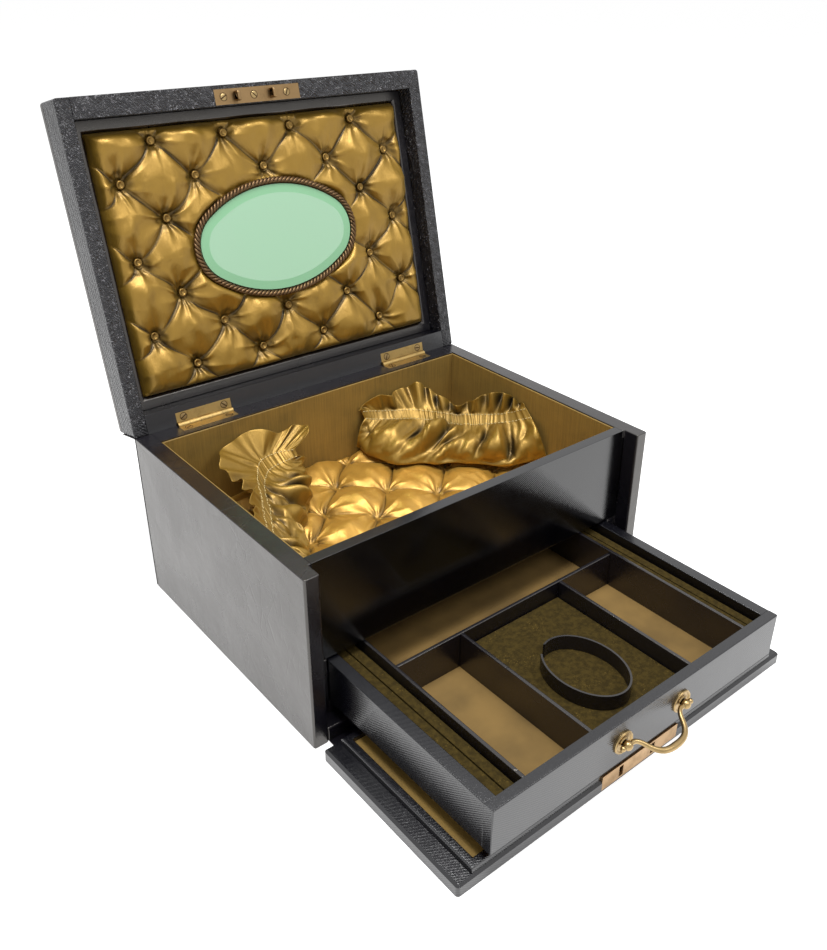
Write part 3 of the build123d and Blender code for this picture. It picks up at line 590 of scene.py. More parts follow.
def quilt(name, place, low, high, button, pitch, heights, seat_r, hole=None):
    """Buttoned satin over wadding, folded thinly from button to button. Low and high are the pad's
    corners in the place's own frame, button is one button's place and pitch the distances to the next
    column and row. The heights above the backing are crown, pit, fold, border and, round a hole, rim.
    Hole gives how far inside it a point is. The puffs sag towards low y."""
    crown, pit, fold, border, rim = heights
    steps = (pitch[0] / 2 / CELLS, pitch[1] / CELLS)
    numbers, lines = zip(*(pad_lines(*axis) for axis in zip(low, high, button, steps)))
    i, j = np.meshgrid(*numbers, indexing="ij")
    x, y = np.meshgrid(*lines, indexing="ij")
    span = 2 * CELLS
    across = np.abs(np.sin(np.pi * (i - j) / span))
    along = np.abs(np.sin(np.pi * (i + j) / span))
    rising, falling = (i - j) % span == 0, (i + j) % span == 0
    to_edge = np.maximum(np.minimum.reduce([x - low[0], high[0] - x, y - low[1], high[1] - y]), 0)
    fullness = 0.84 + 0.26 * chance(np.floor((i - j) / span), np.floor((i + j) / span))
    mid_fold = np.abs(np.sin(np.pi * i / CELLS))
    valley = pit + (fold - pit) * mid_fold**0.8
    swell = across * along
    puff = 0.5 * swell**0.3 + 0.5 * swell**0.95
    height = valley + (crown * fullness - valley) * puff
    ripple, from_button = creased(i, j, span, steps, seat_r)
    at_button = from_button < seat_r
    rise = np.clip((from_button - seat_r) / SEAT_SLOPE + 0.1, 0, 1) ** 0.6
    height = np.where(at_button, pit, pit + (height - pit) * rise + ripple)

    drift = [tuple(noise.noise_vector(Vector((u * 38, v * 38, 0.4)))) for u, v in zip(x.flat, y.flat)]
    dents = [noise.noise(Vector((u * 110, v * 60, 2.7))) for u, v in zip(x.flat, y.flat)]
    drift = np.array(drift).reshape(*x.shape, 3) * DRIFT
    height = height + np.array(dents).reshape(x.shape) * DENTS * puff
    from_rim = np.clip(to_edge / EDGE_ROUND, 0, 1)
    freedom = np.minimum(1, np.hypot(across, along) * 2) * from_rim
    x = x + drift[..., 0] * freedom
    y = y + drift[..., 1] * freedom - SAG * mid_fold * (1 - puff) * from_rim

    height = border + (height - border) * rounded(to_edge, EDGE_ROUND)
    inside = hole(x, y) if hole else np.full(x.shape, -1.0)
    if hole:
        height = rim + (height - rim) * rounded(-inside, HOLE_ROUND)
    kept = (inside < TUCKED_IN).ravel()
    order, faces = split_cells(i, j, kept)
    held = (to_edge < 1e-6) | (inside > 0.2 * mm) | at_button
    points = np.stack([x, y, height], -1).reshape(-1, 3)
    mesh = mesh_from(name, points[kept].tolist(), faces)
    iron(mesh, 3, order[held.ravel() & kept], order[(rising | falling).ravel() & kept])
    mesh.transform(place)
    mesh.shade_smooth()
    return mesh


# ---- lid interior
TUFT_PITCH = 53.0 * mm
TUFT_ROW = 25.0 * mm
TUFT_SEAT_R = 3.2 * mm
LID_CROWN = 16.5 * mm
# share of the button's radius and of its height, from the top down
BUTTON_PROFILE = [
    (0.0001, 0.35), (0.35, 0.35), (0.55, 0.12), (0.72, 0.0), (0.88, 0.08),
    (1.0, 0.35), (1.0, 0.8), (0.8, 1.0), (0.3, 1.0),
]
OVAL_END_R = 30.0 * mm  # arc round each end of the mirror
OVAL_POINTS = 120  # round the mirror's plate
BEVEL_W = 6.0 * mm
BEVEL_DROP = 0.5 * mm
STRANDS = 3
STRAND_R = 0.47  # share of the rope's radius
STRAND_TURN = 9.5 * mm  # length of rope in which a strand goes once round


def oval_arcs(half_w, half_h):
    """Centre distance and radius of the long arcs, and the angle at which they meet the end arcs."""
    end_centre = half_w - OVAL_END_R
    long_r = (end_centre**2 + half_h**2 - OVAL_END_R**2) / (2 * (half_h - OVAL_END_R))
    return end_centre, long_r, math.atan2(long_r - half_h, end_centre)


def oval_path(half_w, half_h, inset, count):
    """Points at equal steps along the oval, moved in by the inset, and its length."""
    end_centre, long_r, meet = oval_arcs(half_w, half_h)
    end_r, side_r = OVAL_END_R - inset, long_r - inset
    fine = []
    for quarter in range(4):
        flip_x = -1 if quarter in (1, 2) else 1
        flip_y = -1 if quarter in (2, 3) else 1
        turns = np.linspace(0, meet, 200)
        on_end = [(end_centre + end_r * math.cos(t), end_r * math.sin(t)) for t in turns]
        turns = np.linspace(meet, math.pi / 2, 200)
        on_side = [(side_r * math.cos(t), half_h - long_r + side_r * math.sin(t)) for t in turns]
        run = [(flip_x * x, flip_y * y) for x, y in on_end + on_side[1:]]
        fine += run[:-1] if quarter % 2 == 0 else run[::-1][:-1]
    fine = np.array(fine)
    travelled = lengths_along(np.linalg.norm(np.roll(fine, -1, 0) - fine, axis=1))
    wanted = np.arange(count) * travelled[-1] / count
    return sampled(np.vstack([fine, fine[:1]]), travelled, wanted), travelled[-1]


def lid_satin():
    """The lid's buttoned pad, with a hole for the mirror."""
    low, high = local_box("lid_pad", LID)
    frame_low, frame_high = local_box("mirror_frame", LID)
    # the pad's own frame has x across, y from the hinge to the front and z into the open lid
    back = high.z
    place = LID @ Matrix.Translation((0, 0, back)) @ Matrix.Diagonal((1, -1, -1, 1))
    middle = -(frame_low.y + frame_high.y) / 2
    half_w, half_h = (frame_high.x - frame_low.x) / 2, (frame_high.y - frame_low.y) / 2
    end_centre, long_r, meet = oval_arcs(half_w, half_h)

    def inside_mirror(x, y):
        right, up = np.abs(x), np.abs(y - middle)
        by_end = OVAL_END_R - np.hypot(right - end_centre, up)
        by_side = long_r - np.hypot(right, up + long_r - half_h)
        at_end = np.arctan2(up + long_r - half_h, right) < meet
        return np.where(at_end, by_end, by_side)

    pit = back - max(points[:, 2].max() for points in islands("tuft_buttons", LID))
    heights = (LID_CROWN, pit - 0.5 * mm, pit + 3.4 * mm, 3.0 * mm, back - frame_high.z + 0.4 * mm)
    corners = (low.x, -high.y), (high.x, -low.y)
    pitch = (TUFT_PITCH, TUFT_ROW)
    mesh = quilt("lid_satin", place, *corners, (0, middle), pitch, heights, TUFT_SEAT_R, inside_mirror)
    piece = add_piece("lid_satin", mesh, "lid", ["lid_pad"], "gold_satin")


def tuft_buttons():
    """Covered buttons, each a dished cap with a rolled rim."""
    parts = []
    for points in islands("tuft_buttons", LID):
        centre = points.mean(0)
        radius = (points[:, 0].max() - points[:, 0].min()) / 2
        top, base = points[:, 2].min(), points[:, 2].max()
        deep = base - top
        turned, faces = lathe([(share * radius, drop * deep) for share, drop in BUTTON_PROFILE], 20)
        lean = Matrix.Rotation(0.2 * noise.noise(Vector(centre) * 90), 4, "X")
        put = Matrix.Translation((centre[0], centre[1], top)) @ lean
        parts.append(([put @ Vector(point) for point in turned], faces))
    mesh = mesh_from("tuft_buttons_capped", *joined(parts), LID)
    mesh.shade_smooth()
    add_piece("tuft_buttons_capped", mesh, "lid", ["tuft_buttons"], "gilt_button")


def mirror_plate():
    """Silvered glass with a bevelled edge, both painted with a mint reflection. The plate's outline is the rope's,
    moved in.
    """
    low, high = local_box("mirror_glass", LID)
    middle = (low + high) / 2
    frame_low, frame_high = local_box("mirror_frame", LID)
    outer = (frame_high.x - frame_low.x) / 2, (frame_high.y - frame_low.y) / 2
    inset = outer[0] - (high.x - low.x) / 2
    points = []
    for further, height in ((BEVEL_W, low.z), (0, low.z + BEVEL_DROP), (0, high.z)):
        ring, _ = oval_path(*outer, inset + further, OVAL_POINTS)
        points += [(x + middle.x, y + middle.y, height) for x, y in ring]
    front = tuple(range(OVAL_POINTS))[::-1]
    back = tuple(range(2 * OVAL_POINTS, 3 * OVAL_POINTS))
    faces = [front, *bands(3, OVAL_POINTS), back]
    mesh = mesh_from("mirror_plate", points, faces, LID)
    piece = add_piece("mirror_plate", mesh, "lid", ["mirror_glass"], "mirror")
    paint(piece, looks["mirror"], looks["mirror_bevel"])
    for face in piece.data.polygons:
        face.material_index = 1 if 0 < face.index <= OVAL_POINTS else 0


def mirror_rope():
    """The mirror's frame, a rope of laid strands."""
    low, high = local_box("mirror_frame", LID)
    rope_r = (high.z - low.z) / 2
    half_w, half_h = (high.x - low.x) / 2, (high.y - low.y) / 2
    strand_r = rope_r * STRAND_R
    centre = Vector(((low.x + high.x) / 2, (low.y + high.y) / 2, low.z + rope_r))
    _, length = oval_path(half_w, half_h, rope_r, 8)
    turns = round(length / STRAND_TURN)
    count = turns * 14
    path, _ = oval_path(half_w, half_h, rope_r, count)
    ahead = np.roll(path, -1, 0) - np.roll(path, 1, 0)
    ahead /= np.linalg.norm(ahead, axis=1)[:, None]
    outward = np.stack([ahead[:, 1], -ahead[:, 0]], -1)
    parts = []
    for strand in range(STRANDS):
        angle = 2 * np.pi * (np.arange(count) * turns / count + strand / STRANDS)
        reach = rope_r - strand_r
        flat = path + outward * (reach * np.cos(angle))[:, None]
        line = np.column_stack([flat, reach * np.sin(angle)]) + np.array(centre)
        parts.append(tube(line, strand_r, 8, closed=True))
    mesh = mesh_from("mirror_rope", *joined(parts), LID)
    mesh.shade_smooth()
    add_piece("mirror_rope", mesh, "lid", ["mirror_frame"], "gilt_rope")


# ---- screws, each with a slot across its head
SLOT_W = 0.16  # share of the head's radius, half the slot's width
SLOT_DEPTH = 0.35 * mm
HEAD_ROOM = 1.05  # the head's radius over the countersink's
PAINTED_SHADE_RING = 1.14  # the radius of the disc of painted shade over the head's
CROWN = 0.35 * mm
FLUSH = 0.1 * mm  # crown of a head that another head meets when the lid is shut


def slotted_head(radius, turn, crown):
    """A screw head at z = 0 facing up: two raised halves over a dark disc of painted shade that shows round them
    and in the slot.
    """
    points, faces = [], []
    for side in (-1, 1):
        start = len(points)
        edge = math.asin(SLOT_W)
        arc = np.linspace(edge, math.pi - edge, 14)
        for share, height in ((1.0, -0.3 * mm), (0.94, 0.4 * crown), (0.55, crown)):
            for angle in arc:
                y = max(SLOT_W, share * math.sin(angle))
                points.append((share * math.cos(angle) * radius, side * y * radius, height))
        count = len(arc)
        faces += [tuple(face)[:: side] for face in strips(3, count) + start]
        faces.append(tuple(range(start + 2 * count, start + 3 * count))[:: side])
        wall = [start + ring * count + end for ring in range(3) for end in (0, count - 1)]
        faces.append((wall[0], wall[2], wall[4], wall[5], wall[3], wall[1])[:: side])
        low = len(points)
        points += [(x, y, -SLOT_DEPTH) for x, y, _ in (points[wall[2]], points[wall[3]])]
        faces.append((low, wall[2], wall[3], low + 1)[:: -side])
    # the disc is painted shade round the head and in its slot
    start = len(points)
    wide = radius * PAINTED_SHADE_RING
    for angle in np.linspace(0, 2 * math.pi, 24, False):
        points.append((math.cos(angle) * wide, math.sin(angle) * wide, 0.03 * mm))
    faces.append(tuple(range(start, len(points))))
    spin = Matrix.Rotation(turn, 4, "Z")
    return [spin @ Vector(point) for point in points], faces


def slotted_screws(node, up, place=Matrix(), crown=CROWN):
    """Slotted heads over a node's countersunk screws. Up is the way the heads face in the place's frame."""
    parts = []
    for number, points in enumerate(islands(node, place)):
        radius = (points[:, 0].max() - points[:, 0].min()) / 2 * HEAD_ROOM
        height = points[:, 2].max() if up > 0 else points[:, 2].min()
        middle = (points.max(0) + points.min(0)) / 2
        head, faces = slotted_head(radius, 0.5 + 1.9 * number, crown)
        put = Matrix.Translation((middle[0], middle[1], height + up * 0.02 * mm))
        if up < 0:
            put = put @ Matrix.Rotation(math.pi, 4, "X")
        parts.append(([put @ point for point in head], faces))
    mesh = mesh_from(node + "_slotted", *joined(parts), place)
    piece = add_piece(node + "_slotted", mesh, body_of[node], [node], "brass")
    paint(piece, looks["brass"], looks["brass_dark"])
    # each head's last face, the disc, takes the painted shade
    each = len(parts[0][1])
    for face in mesh.polygons:
        face.material_index = 1 if face.index % each == each - 1 else 0


# ---- leather over the back
SKIN_T = 0.55 * mm
SKIN_ON_LID = 22.0 * mm


def hinge_line():
    """The leather over the back, from the underside to the hinge axis, and the lid's from there up."""
    low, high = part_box("side_panel_left")[0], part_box("side_panel_right")[1]
    axis = Vector(lid_joint["pos_m"])
    down = low.z - axis.z + 0.5 * mm
    for body, place, reach in (("carcass", Matrix.Translation(axis), down), ("lid", LID, SKIN_ON_LID)):
        start = math.copysign(1, reach)
        section = (0, reach), (SKIN_T, reach), (SKIN_T, start * 0.3 * mm), (0, start * 0.05 * mm)
        points = [(x, out, along) for x in (low.x, high.x) for out, along in section]
        faces = [(0, 1, 2, 3), (7, 6, 5, 4), (0, 4, 5, 1), (1, 5, 6, 2), (2, 6, 7, 3), (3, 7, 4, 0)]
        mesh = mesh_from(f"hinge_line_{body}", points, faces, place)
        add_piece(f"hinge_line_{body}", mesh, body, [], "black_leather")


# ---- compartment
FLOOR_BUTTON = (-15.0 * mm, 1.0 * mm)
FLOOR_PITCH = (55.0 * mm, 26.0 * mm)
FLOOR_HEIGHTS = (14.0 * mm, 4.5 * mm, 7.0 * mm, 4.0 * mm, 0)
FLOOR_SEAT_R = 1.0 * mm


def floor_satin():
    """The compartment's buttoned pad."""
    low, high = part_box("bottom_pad")
    place = Matrix.Translation((0, 0, low.z))
    pattern = (FLOOR_BUTTON, FLOOR_PITCH, FLOOR_HEIGHTS, FLOOR_SEAT_R)
    mesh = quilt("floor_satin", place, low[:2], high[:2], *pattern)
    # painted light: the floor pad wears a paler copy of the same satin, for its upward face
    piece = add_piece("floor_satin", mesh, "carcass", ["bottom_pad"], "gold_satin_bright")


# ---- gathered pockets, each a strip of satin slung across a back corner
# stations along each pocket from the back lining to the side lining, in mm: the free edge, the two edges
# of the drawn casing, and the foot on the floor pad
STATIONS_RIGHT = [
    ((28, 84, 100), (32, 86, 97), (34, 84, 90), (26, 85, 67)),
    ((44, 86, 105), (46, 84, 94), (44, 79, 88), (27, 68, 67)),
    ((60, 84, 104), (60, 80, 92), (57, 72, 87), (32, 46, 67)),
    ((76, 86, 106), (72, 72, 92), (68, 64, 87), (44, 38, 67)),
    ((90, 74, 105), (80, 62, 92), (76, 55, 87), (54, 28, 67)),
    ((92, 58, 101), (87, 52, 92), (82, 45, 87), (62, 22, 67)),
    ((97, 44, 98), (94, 43, 92), (89, 35, 87), (72, 14, 67)),
    ((108, 38, 104), (103, 34, 93), (98, 27, 87), (82, 2, 67)),
    ((118, 30, 107), (111, 25, 94), (106, 20, 88), (93, -7, 67)),
    ((124, 16, 109), (118, 14, 97), (115, 9, 91), (106, -15, 67)),
    ((125.5, 2, 108), (125.5, 0, 104), (125.5, -7, 98), (125.5, -26, 71)),
]
STATIONS_LEFT = [
    ((-29, 68, 102), (-38, 70, 93), (-37, 67, 88), (-26, 84, 67)),
    ((-22, 78, 105), (-42, 74, 92), (-42, 68, 87), (-34, 72, 67)),
    ((-30, 87, 105), (-48, 76, 92), (-48, 67, 87), (-40, 62, 67)),
    ((-43, 84, 103), (-54, 76, 92), (-54, 66, 87), (-46, 48, 67)),
    ((-58, 87.5, 108), (-61, 75, 92), (-61, 64, 87), (-52, 37, 67)),
    ((-76, 85, 108), (-66, 72, 92), (-67, 60, 87), (-58, 27, 67)),
    ((-93, 77, 105), (-70, 68, 92), (-72, 54, 87), (-65, 17, 67)),
    ((-101, 62, 102), (-74, 62, 91), (-77, 47, 86), (-71, 8, 67)),
    ((-96, 50, 99), (-80, 52, 91), (-82, 37, 85), (-77, -3, 67)),
    ((-97, 32, 101), (-88, 34, 91), (-89, 20, 85), (-85, -14, 67)),
    ((-106, 10, 102), (-98, 14, 91), (-98, 2, 85), (-94, -26, 67)),
    ((-114, -12, 102), (-108, -8, 92), (-107, -16, 85), (-104, -36, 67)),
    ((-121, -32, 103), (-116, -28, 93), (-116, -33, 86), (-114, -44, 67)),
    ((-125.5, -54, 104), (-125.5, -48, 96), (-125.5, -50, 89), (-125.5, -50, 68)),
]
POCKET_STATIONS = {"right": STATIONS_RIGHT, "left": STATIONS_LEFT}
POCKET_ROWS = {"ruffle": 10, "casing": 4, "body": 20, "tuck": 3}
FIRST_CASING = POCKET_ROWS["ruffle"]
POCKET_PRESSURE, POCKET_SPARE, POCKET_FRAMES = 0.2, 0.08, 12
# the room between the linings and above the pad's backing
POCKET_LOW = (-126.3 * mm, None, 66.0 * mm)
POCKET_HIGH = (126.3 * mm, 88.2 * mm, 112.0 * mm)
CLOTH_T = 0.5 * mm
GATHER = 5.0 * mm
COLUMN = 1.05 * mm
TUCK_STEP = 2.5 * mm
BODY_OUT, BODY_UP = 9.0 * mm, 9.0 * mm  # how the body bellies out between the casing and its foot
# in mm: the ruffle's waves, its pleats, the rise and fall of its hem, and the body's large and small folds
SCALLOP = {"right": 4.4, "left": 2.2}
PLEAT = {"right": 1.7, "left": 2.4}
HEM_RISE = {"right": 2.4, "left": 1.4}
LARGE_FOLD, SMALL_FOLD = 8.0, 1.8
FOOT_WANDER = 4.0
THREAD_R = 0.22 * mm
STITCH_L, STITCH_GAP = 1.5 * mm, 1.3 * mm
STITCH_RISE = 0.4 * mm
STITCH_LIFT = 0.45 * mm


def smooth_lines(stations, column):
    """The stations' lines made smooth together, in columns about as far apart as given."""
    points = np.array(stations, float) * mm
    ends = 2 * points[:1] - points[1:2], 2 * points[-1:] - points[-2:-1]
    padded = np.concatenate([ends[0], points, ends[1]])
    fine = []
    t = np.linspace(0, 1, 40, endpoint=False)[:, None, None]
    for a, b, c, d in zip(padded, padded[1:], padded[2:], padded[3:]):
        bend, twist = 2 * a - 5 * b + 4 * c - d, 3 * b - a - 3 * c + d
        fine.append(0.5 * (2 * b + (c - a) * t + bend * t**2 + twist * t**3))
    fine = np.concatenate(fine + [points[-1:]])
    travelled = lengths_along(np.linalg.norm(np.diff(fine, axis=0), axis=2).mean(1))
    wanted = np.linspace(0, travelled[-1], int(travelled[-1] / column))
    place = np.interp(wanted, travelled, np.arange(len(fine)))
    low = np.minimum(place.astype(int), len(fine) - 2)
    share = (place - low)[:, None, None]
    return (fine[low] * (1 - share) + fine[low + 1] * share).transpose(1, 0, 2)


def wander(places, seed):
    """Smooth random numbers along a line, from about -1 to 1."""
    return np.array([noise.noise(Vector((place, seed * 7.3, 0.5))) * 1.6 for place in places])


def stitch_row(line, out):
    """Points and faces of short raised threads along a line on the cloth."""
    travelled = lengths_along(np.linalg.norm(np.diff(line, axis=0), axis=1))
    threads = []
    for start in np.arange(STITCH_GAP, travelled[-1] - STITCH_L, STITCH_L + STITCH_GAP):
        places = start + STITCH_L * np.array((0, 0.5, 1))
        rise = np.array((0.0, STITCH_RISE, 0.0))[:, None]
        path = sampled(line, travelled, places) + sampled(out, travelled, places) * rise
        threads.append(tube(path, THREAD_R, 5))
    return joined(threads)


def billow(places, t, seed, pitch, down, slant=1.5):
    """Rounded folds with sharp valleys between them, slanting as they go down, from about -0.5 to 1."""
    along = places / pitch + slant * t
    return np.array([abs(noise.noise(Vector((u, t * down, seed * 3.7)))) * 2.6 - 0.55 for u in along])


def out_of(grid, out, row):
    """Unit normals of a grid of points, on the side where the given row's face outwards."""
    normal = np.cross(np.gradient(grid, axis=1), np.gradient(grid, axis=0))
    normal /= np.linalg.norm(normal, axis=2)[..., None] + 1e-12
    return -normal if normal[row].mean(0) @ out < 0 else normal


def pocket_rows(side, out, seed):
    """The smooth pocket as rows of points from its hem to its tucked foot, what each row belongs to and
    how far along, the columns' places in mm, and 0 at both ends rising to 1."""
    rim, top, waist, foot = smooth_lines(POCKET_STATIONS[side], COLUMN)
    s = np.arange(len(rim)) * COLUMN / mm
    ends = np.clip(np.minimum(s, s[-1] - s) / 6, 0, 1)
    foot = foot + out * (FOOT_WANDER * wander(s / 15, seed + 9) * ends)[:, None] * mm
    rows, kinds = [], []
    for row in range(POCKET_ROWS["ruffle"]):
        t = row / POCKET_ROWS["ruffle"]
        rows.append(rim + (top - rim) * t)
        kinds.append(("ruffle", 1 - t))
    for row in range(POCKET_ROWS["casing"]):
        rows.append(top + (waist - top) * row / POCKET_ROWS["casing"])
        kinds.append(("casing", 0))
    belly = waist * 0.45 + foot * 0.55 + out * BODY_OUT + np.array((0, 0, BODY_UP))
    for row in range(POCKET_ROWS["body"] + 1):
        t = row / POCKET_ROWS["body"]
        rows.append(waist * (1 - t) ** 2 + belly * 2 * t * (1 - t) + foot * t**2)
        kinds.append(("body", t))
    for row in range(1, POCKET_ROWS["tuck"] + 1):
        rows.append(foot - out * row * TUCK_STEP)
        kinds.append(("tuck", 0))
    return np.array(rows), kinds, s, ends


def gathered(grid, kinds, s, ends, side, out, seed):
    """The pocket's rows with their gathers, pleats and folds."""
    normal = out_of(grid, out, FIRST_CASING + 1)
    fine_phase = s / (GATHER / mm) + 0.9 * wander(s / 9, seed)
    coarse_phase = s / 14 + 1.1 * wander(s / 30, seed + 1)
    strength = 1 + 0.6 * wander(s / 22, seed + 3)
    fine = (1 - 2 * np.abs(np.sin(np.pi * fine_phase)) ** 0.7) * (0.7 + 0.5 * wander(s / 12, seed + 6))
    # the left pocket's ruffle lies quieter towards its front end
    calm = np.interp(s / s[-1], (0.5, 0.68), (1, 0.4)) if side == "left" else 1
    slant = 3.0 - 2.2 * s / s[-1]
    for index, (kind, t) in enumerate(kinds):
        shift = 0 * s
        if kind == "ruffle":
            wave = np.sin(2 * np.pi * (coarse_phase + 0.12 * t)) * strength
            scallop = wave * SCALLOP[side] * calm * t**0.9
            pleats = billow(s, 0.2 * t, seed + 5, 4.6, 1) * PLEAT[side] * calm
            shift = fine * 0.7 * (1 - t) ** 1.5 + scallop + pleats
            grid[index, :, 2] += HEM_RISE[side] * wander(s / 9, seed + 5) * t * mm
        elif kind == "casing":
            shift = fine * 0.7
        elif kind == "body":
            swell = math.sin(math.pi * min(1, t * 1.15)) ** 0.6
            large = billow(s, t, seed + 2, 15, 0.7, slant) * strength * LARGE_FOLD
            small = billow(s, t, seed + 4, 6.5, 1.2, slant) * SMALL_FOLD
            shift = fine * 0.8 * max(0, 1 - 3.5 * t) + (large - small) * swell
        grid[index] += normal[index] * (shift * ends)[:, None] * mm
    return grid


def pocket(side):
    """A gathered pocket, blown out as cloth against its casing and its sewn edges, and its stitches."""
    seed = 3 if side == "right" else 8
    out = np.array((-1 if side == "right" else 1, -1, 0.0)) / math.sqrt(2)
    grid, kinds, s, ends = pocket_rows(side, out, seed)
    grid = gathered(grid, kinds, s, ends, side, out, seed)
    count, columns = grid.shape[:2]
    index = np.arange(count * columns).reshape(count, columns)
    name = f"pocket_{side}_satin"
    mesh = mesh_from(name, grid.reshape(-1, 3).tolist(), strips(count, columns).tolist())
    piece = show(bpy.data.objects.new(name, mesh))
    casing = index[FIRST_CASING:FIRST_CASING + POCKET_ROWS["casing"] + 1]
    tuck = index[count - POCKET_ROWS["tuck"] - 1:]
    held = np.unique(np.concatenate([casing.ravel(), tuck.ravel(), index[:, 0], index[:, -1]]))
    settle(piece, held, POCKET_PRESSURE, POCKET_SPARE, POCKET_FRAMES)
    mesh = piece.data
    iron(mesh, 2, held)
    iron(mesh, 2, index[FIRST_CASING:].ravel())
    points = np.array([vertex.co for vertex in mesh.vertices])
    for axis in range(3):
        points[:, axis] = np.clip(points[:, axis], POCKET_LOW[axis], POCKET_HIGH[axis])
    mesh.vertices.foreach_set("co", points.astype(np.float32).ravel())
    mesh.update()
    bpy.data.objects.remove(piece)

    settled = points.reshape(count, columns, 3)
    facing = out_of(settled, out, FIRST_CASING)
    rows = []
    for row in (FIRST_CASING + 0.4, FIRST_CASING + POCKET_ROWS["casing"] - 0.2):
        low, share = int(row), row - int(row)
        line = settled[low] * (1 - share) + settled[low + 1] * share + facing[low] * STITCH_LIFT
        rows.append(stitch_row(line, facing[low]))
    stitches = mesh_from(f"pocket_{side}_stitches", *joined(rows))
    add_piece(f"pocket_{side}_stitches", stitches, "carcass", [], "gold_satin_thread")
    piece = add_piece(name, mesh, "carcass", [f"pocket_{side}"], "gold_satin")
    mesh.shade_smooth()
    thick = piece.modifiers.new("cloth thickness", "SOLIDIFY")
    thick.thickness = CLOTH_T
    thick.offset = 0
    finer = piece.modifiers.new("finer", "SUBSURF")
    finer.levels = finer.render_levels = 1


# ---- stage
FLOOR_GLOW = 0.66  # brings the lit floor up to white
DIM_SKY = 0.42  # the white world as plain light on the object


def seen_rays(tree):
    """1 for camera, glossy and transmission rays, 0 for the rest."""
    rays = tree.nodes.new("ShaderNodeLightPath")
    seen = rays.outputs["Is Camera Ray"]
    for kind in ("Is Glossy Ray", "Is Transmission Ray"):
        either = tree.nodes.new("ShaderNodeMath")
        either.operation = "MAXIMUM"
        tree.links.new(seen, either.inputs[0])
        tree.links.new(rays.outputs[kind], either.inputs[1])
        seen = either.outputs[0]
    return seen


def make_stage():
    """A white floor that keeps the object's shadow, a white world and soft lamps."""
    bpy.ops.mesh.primitive_plane_add(size=60)
    floor = bpy.context.object
    floor.name = "floor"
    s = Shader()
    s.material.name = "floor_white"
    s.set(Base_Color=(0.8, 0.8, 0.8, 1), Roughness=1.0, Specular_IOR_Level=0)
    glow = s.math("MULTIPLY", seen_rays(s.tree), FLOOR_GLOW)
    s.set(Emission_Color=(1, 1, 1, 1), Emission_Strength=glow)
    paint(floor, s.material)

    world = bpy.data.worlds.new("world")
    world.use_nodes = True
    tree = world.node_tree
    sky = tree.nodes["Background"]
    sky.inputs["Color"].default_value = (1, 1, 1, 1)
    level = tree.nodes.new("ShaderNodeMapRange")
    tree.links.new(seen_rays(tree), level.inputs["Value"])
    level.inputs["To Min"].default_value = DIM_SKY
    level.inputs["To Max"].default_value = 1.0
    tree.links.new(level.outputs[0], sky.inputs["Strength"])
    bpy.context.scene.world = world

    def lamp(name, place, target, size, power):
        data = bpy.data.lights.new(name, "AREA")
        data.size = size
        data.energy = power
        light = show(bpy.data.objects.new(name, data))
        light.location = place
        light.rotation_euler = (Vector(target) - Vector(place)).to_track_quat("-Z", "Y").to_euler()

    lamp("key", (0.35, -0.9, 1.1), (0, 0, 0.1), 0.4, 4)
    lamp("top", (-0.15, -0.15, 1.5), (0, 0, 0), 0.6, 23)


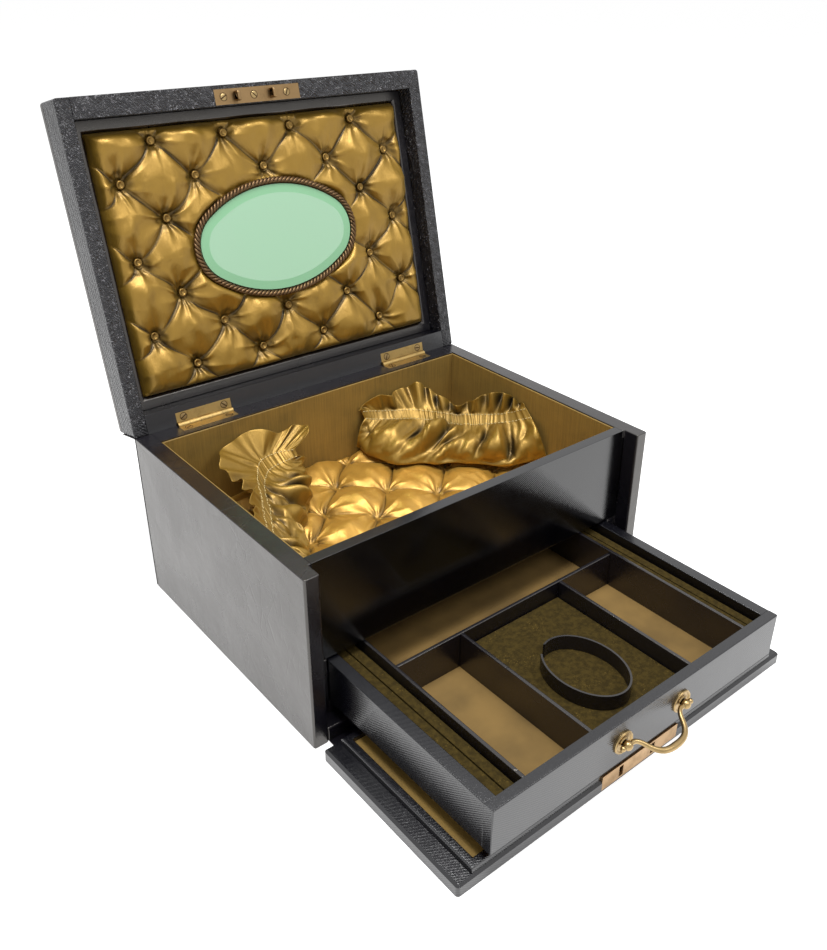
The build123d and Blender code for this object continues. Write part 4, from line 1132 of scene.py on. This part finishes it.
# ---- looks, and what wears them
looks = {
    "black_leather": leather((14, 13, 20), 0.25, cracks=0.5, pebbled=0.0001),
    "black_leather_ribbed": leather((8, 8, 14), 0.2, ribs=0.00004),
    "black_leather_grained": leather((9, 8, 16), 0.22, 0.001, 0.003, broken=True),
    "black_leather_polished": leather((4, 4, 7), 0.11, 0.00002, pebbled=0.00001),
    "black_leather_worn": leather((30, 28, 30), 0.4, worn=True),
    "gold_silk": silk((134, 107, 50)),
    # painted shade: a darker copy of the lining silk for the cards' rounded edges, against their lit sheen
    "gold_silk_edge": silk((88, 68, 34)),
    # the second colour of each satin is the painted shade for its folds
    "gold_satin": satin((147, 114, 39), (20, 14, 3)),
    # painted light: a paler copy of gold_satin, and its fold shade, for the upward-facing floor pad
    "gold_satin_bright": satin((195, 149, 62), (40, 26, 6)),
    "gold_satin_thread": silk((226, 206, 150)),
    "gold_paper": paper((128, 102, 57)),
    "olive_velvet": velvet(),
    "brass": brass((169, 144, 100), 0.3),
    "brass_plate": brass((141, 115, 80), 0.34),
    "brass_lock": brass((188, 156, 116), 0.36),
    "brass_rubbed": brass((176, 149, 95), 0.42),
    # painted shade: a dark copy of the brass for the disc round each screw head
    "brass_dark": brass((74, 56, 38), 0.5),
    "gilt_button": brass((128, 102, 56), 0.4),
    "gilt_rope": twisted_cord((100, 78, 54)),
    # painted reflection: the mirror's plate and bevel are tinted mint for what they reflect
    "mirror": painted_reflection_mirror((167, 208, 176), 0.5),
    "mirror_bevel": painted_reflection_mirror((138, 191, 149), 0.26),
    "wood": wood(),
}
for name, material in looks.items():
    material.name = name
slot_of = {part["node"]: part["material_slot"] for part in frame["record"]["subparts"]}
leather_of = {
    "black_leather_ribbed": [
        "lid_back_rail", "flap_board", "flap_frame",
        "drawer_front", "drawer_side_left", "drawer_side_right", "drawer_back",
    ],
    "black_leather_polished": ["front_panel"],
    "black_leather_grained": ["lid_front_rail", "lid_side_left", "lid_side_right"],
}
leather_of = {board: look for look, boards in leather_of.items() for board in boards}
BOARD_EDGE = 0.55 * mm
boards = [node for node, slot in slot_of.items() if slot == "black_leather" and node != "bracelet_band"]
# look and edge radius of each metal plate
METALS = {
    "catch_plate": ("brass_plate", 0.25 * mm),
    "catch_staples": ("brass_plate", 0.3 * mm),
    "lock_plate": ("brass_lock", 0.25 * mm),
    "hinge_body_leaves": ("brass_rubbed", 0.12 * mm),
    "hinge_lid_leaves": ("brass_rubbed", 0.12 * mm),
}
LININGS = ("lining_left", "lining_right", "lining_back", "lining_front")
LINING_EDGE = 0.4 * mm

bpy.context.scene.view_settings.view_transform = "Standard"
make_camera()
make_stage()
for name, piece in nodes.items():
    paint(piece, looks[slot_of[name]])
for board in boards:
    softened(board, leather_of.get(board, "black_leather"), BOARD_EDGE, "black_leather_worn")
for metal, (look, radius) in METALS.items():
    softened(metal, look, radius)
for card in LININGS:
    # the linings' rounded edges take the darker silk of painted shade
    softened(card, "gold_silk", LINING_EDGE, "gold_silk_edge")
slotted_screws("hinge_body_screws", 1, crown=FLUSH)
slotted_screws("hinge_lid_screws", -1, LID, FLUSH)
slotted_screws("catch_screws", -1, LID)
hinge_line()
lid_satin()
tuft_buttons()
mirror_plate()
mirror_rope()
floor_satin()
for side in POCKET_STATIONS:
    pocket(side)
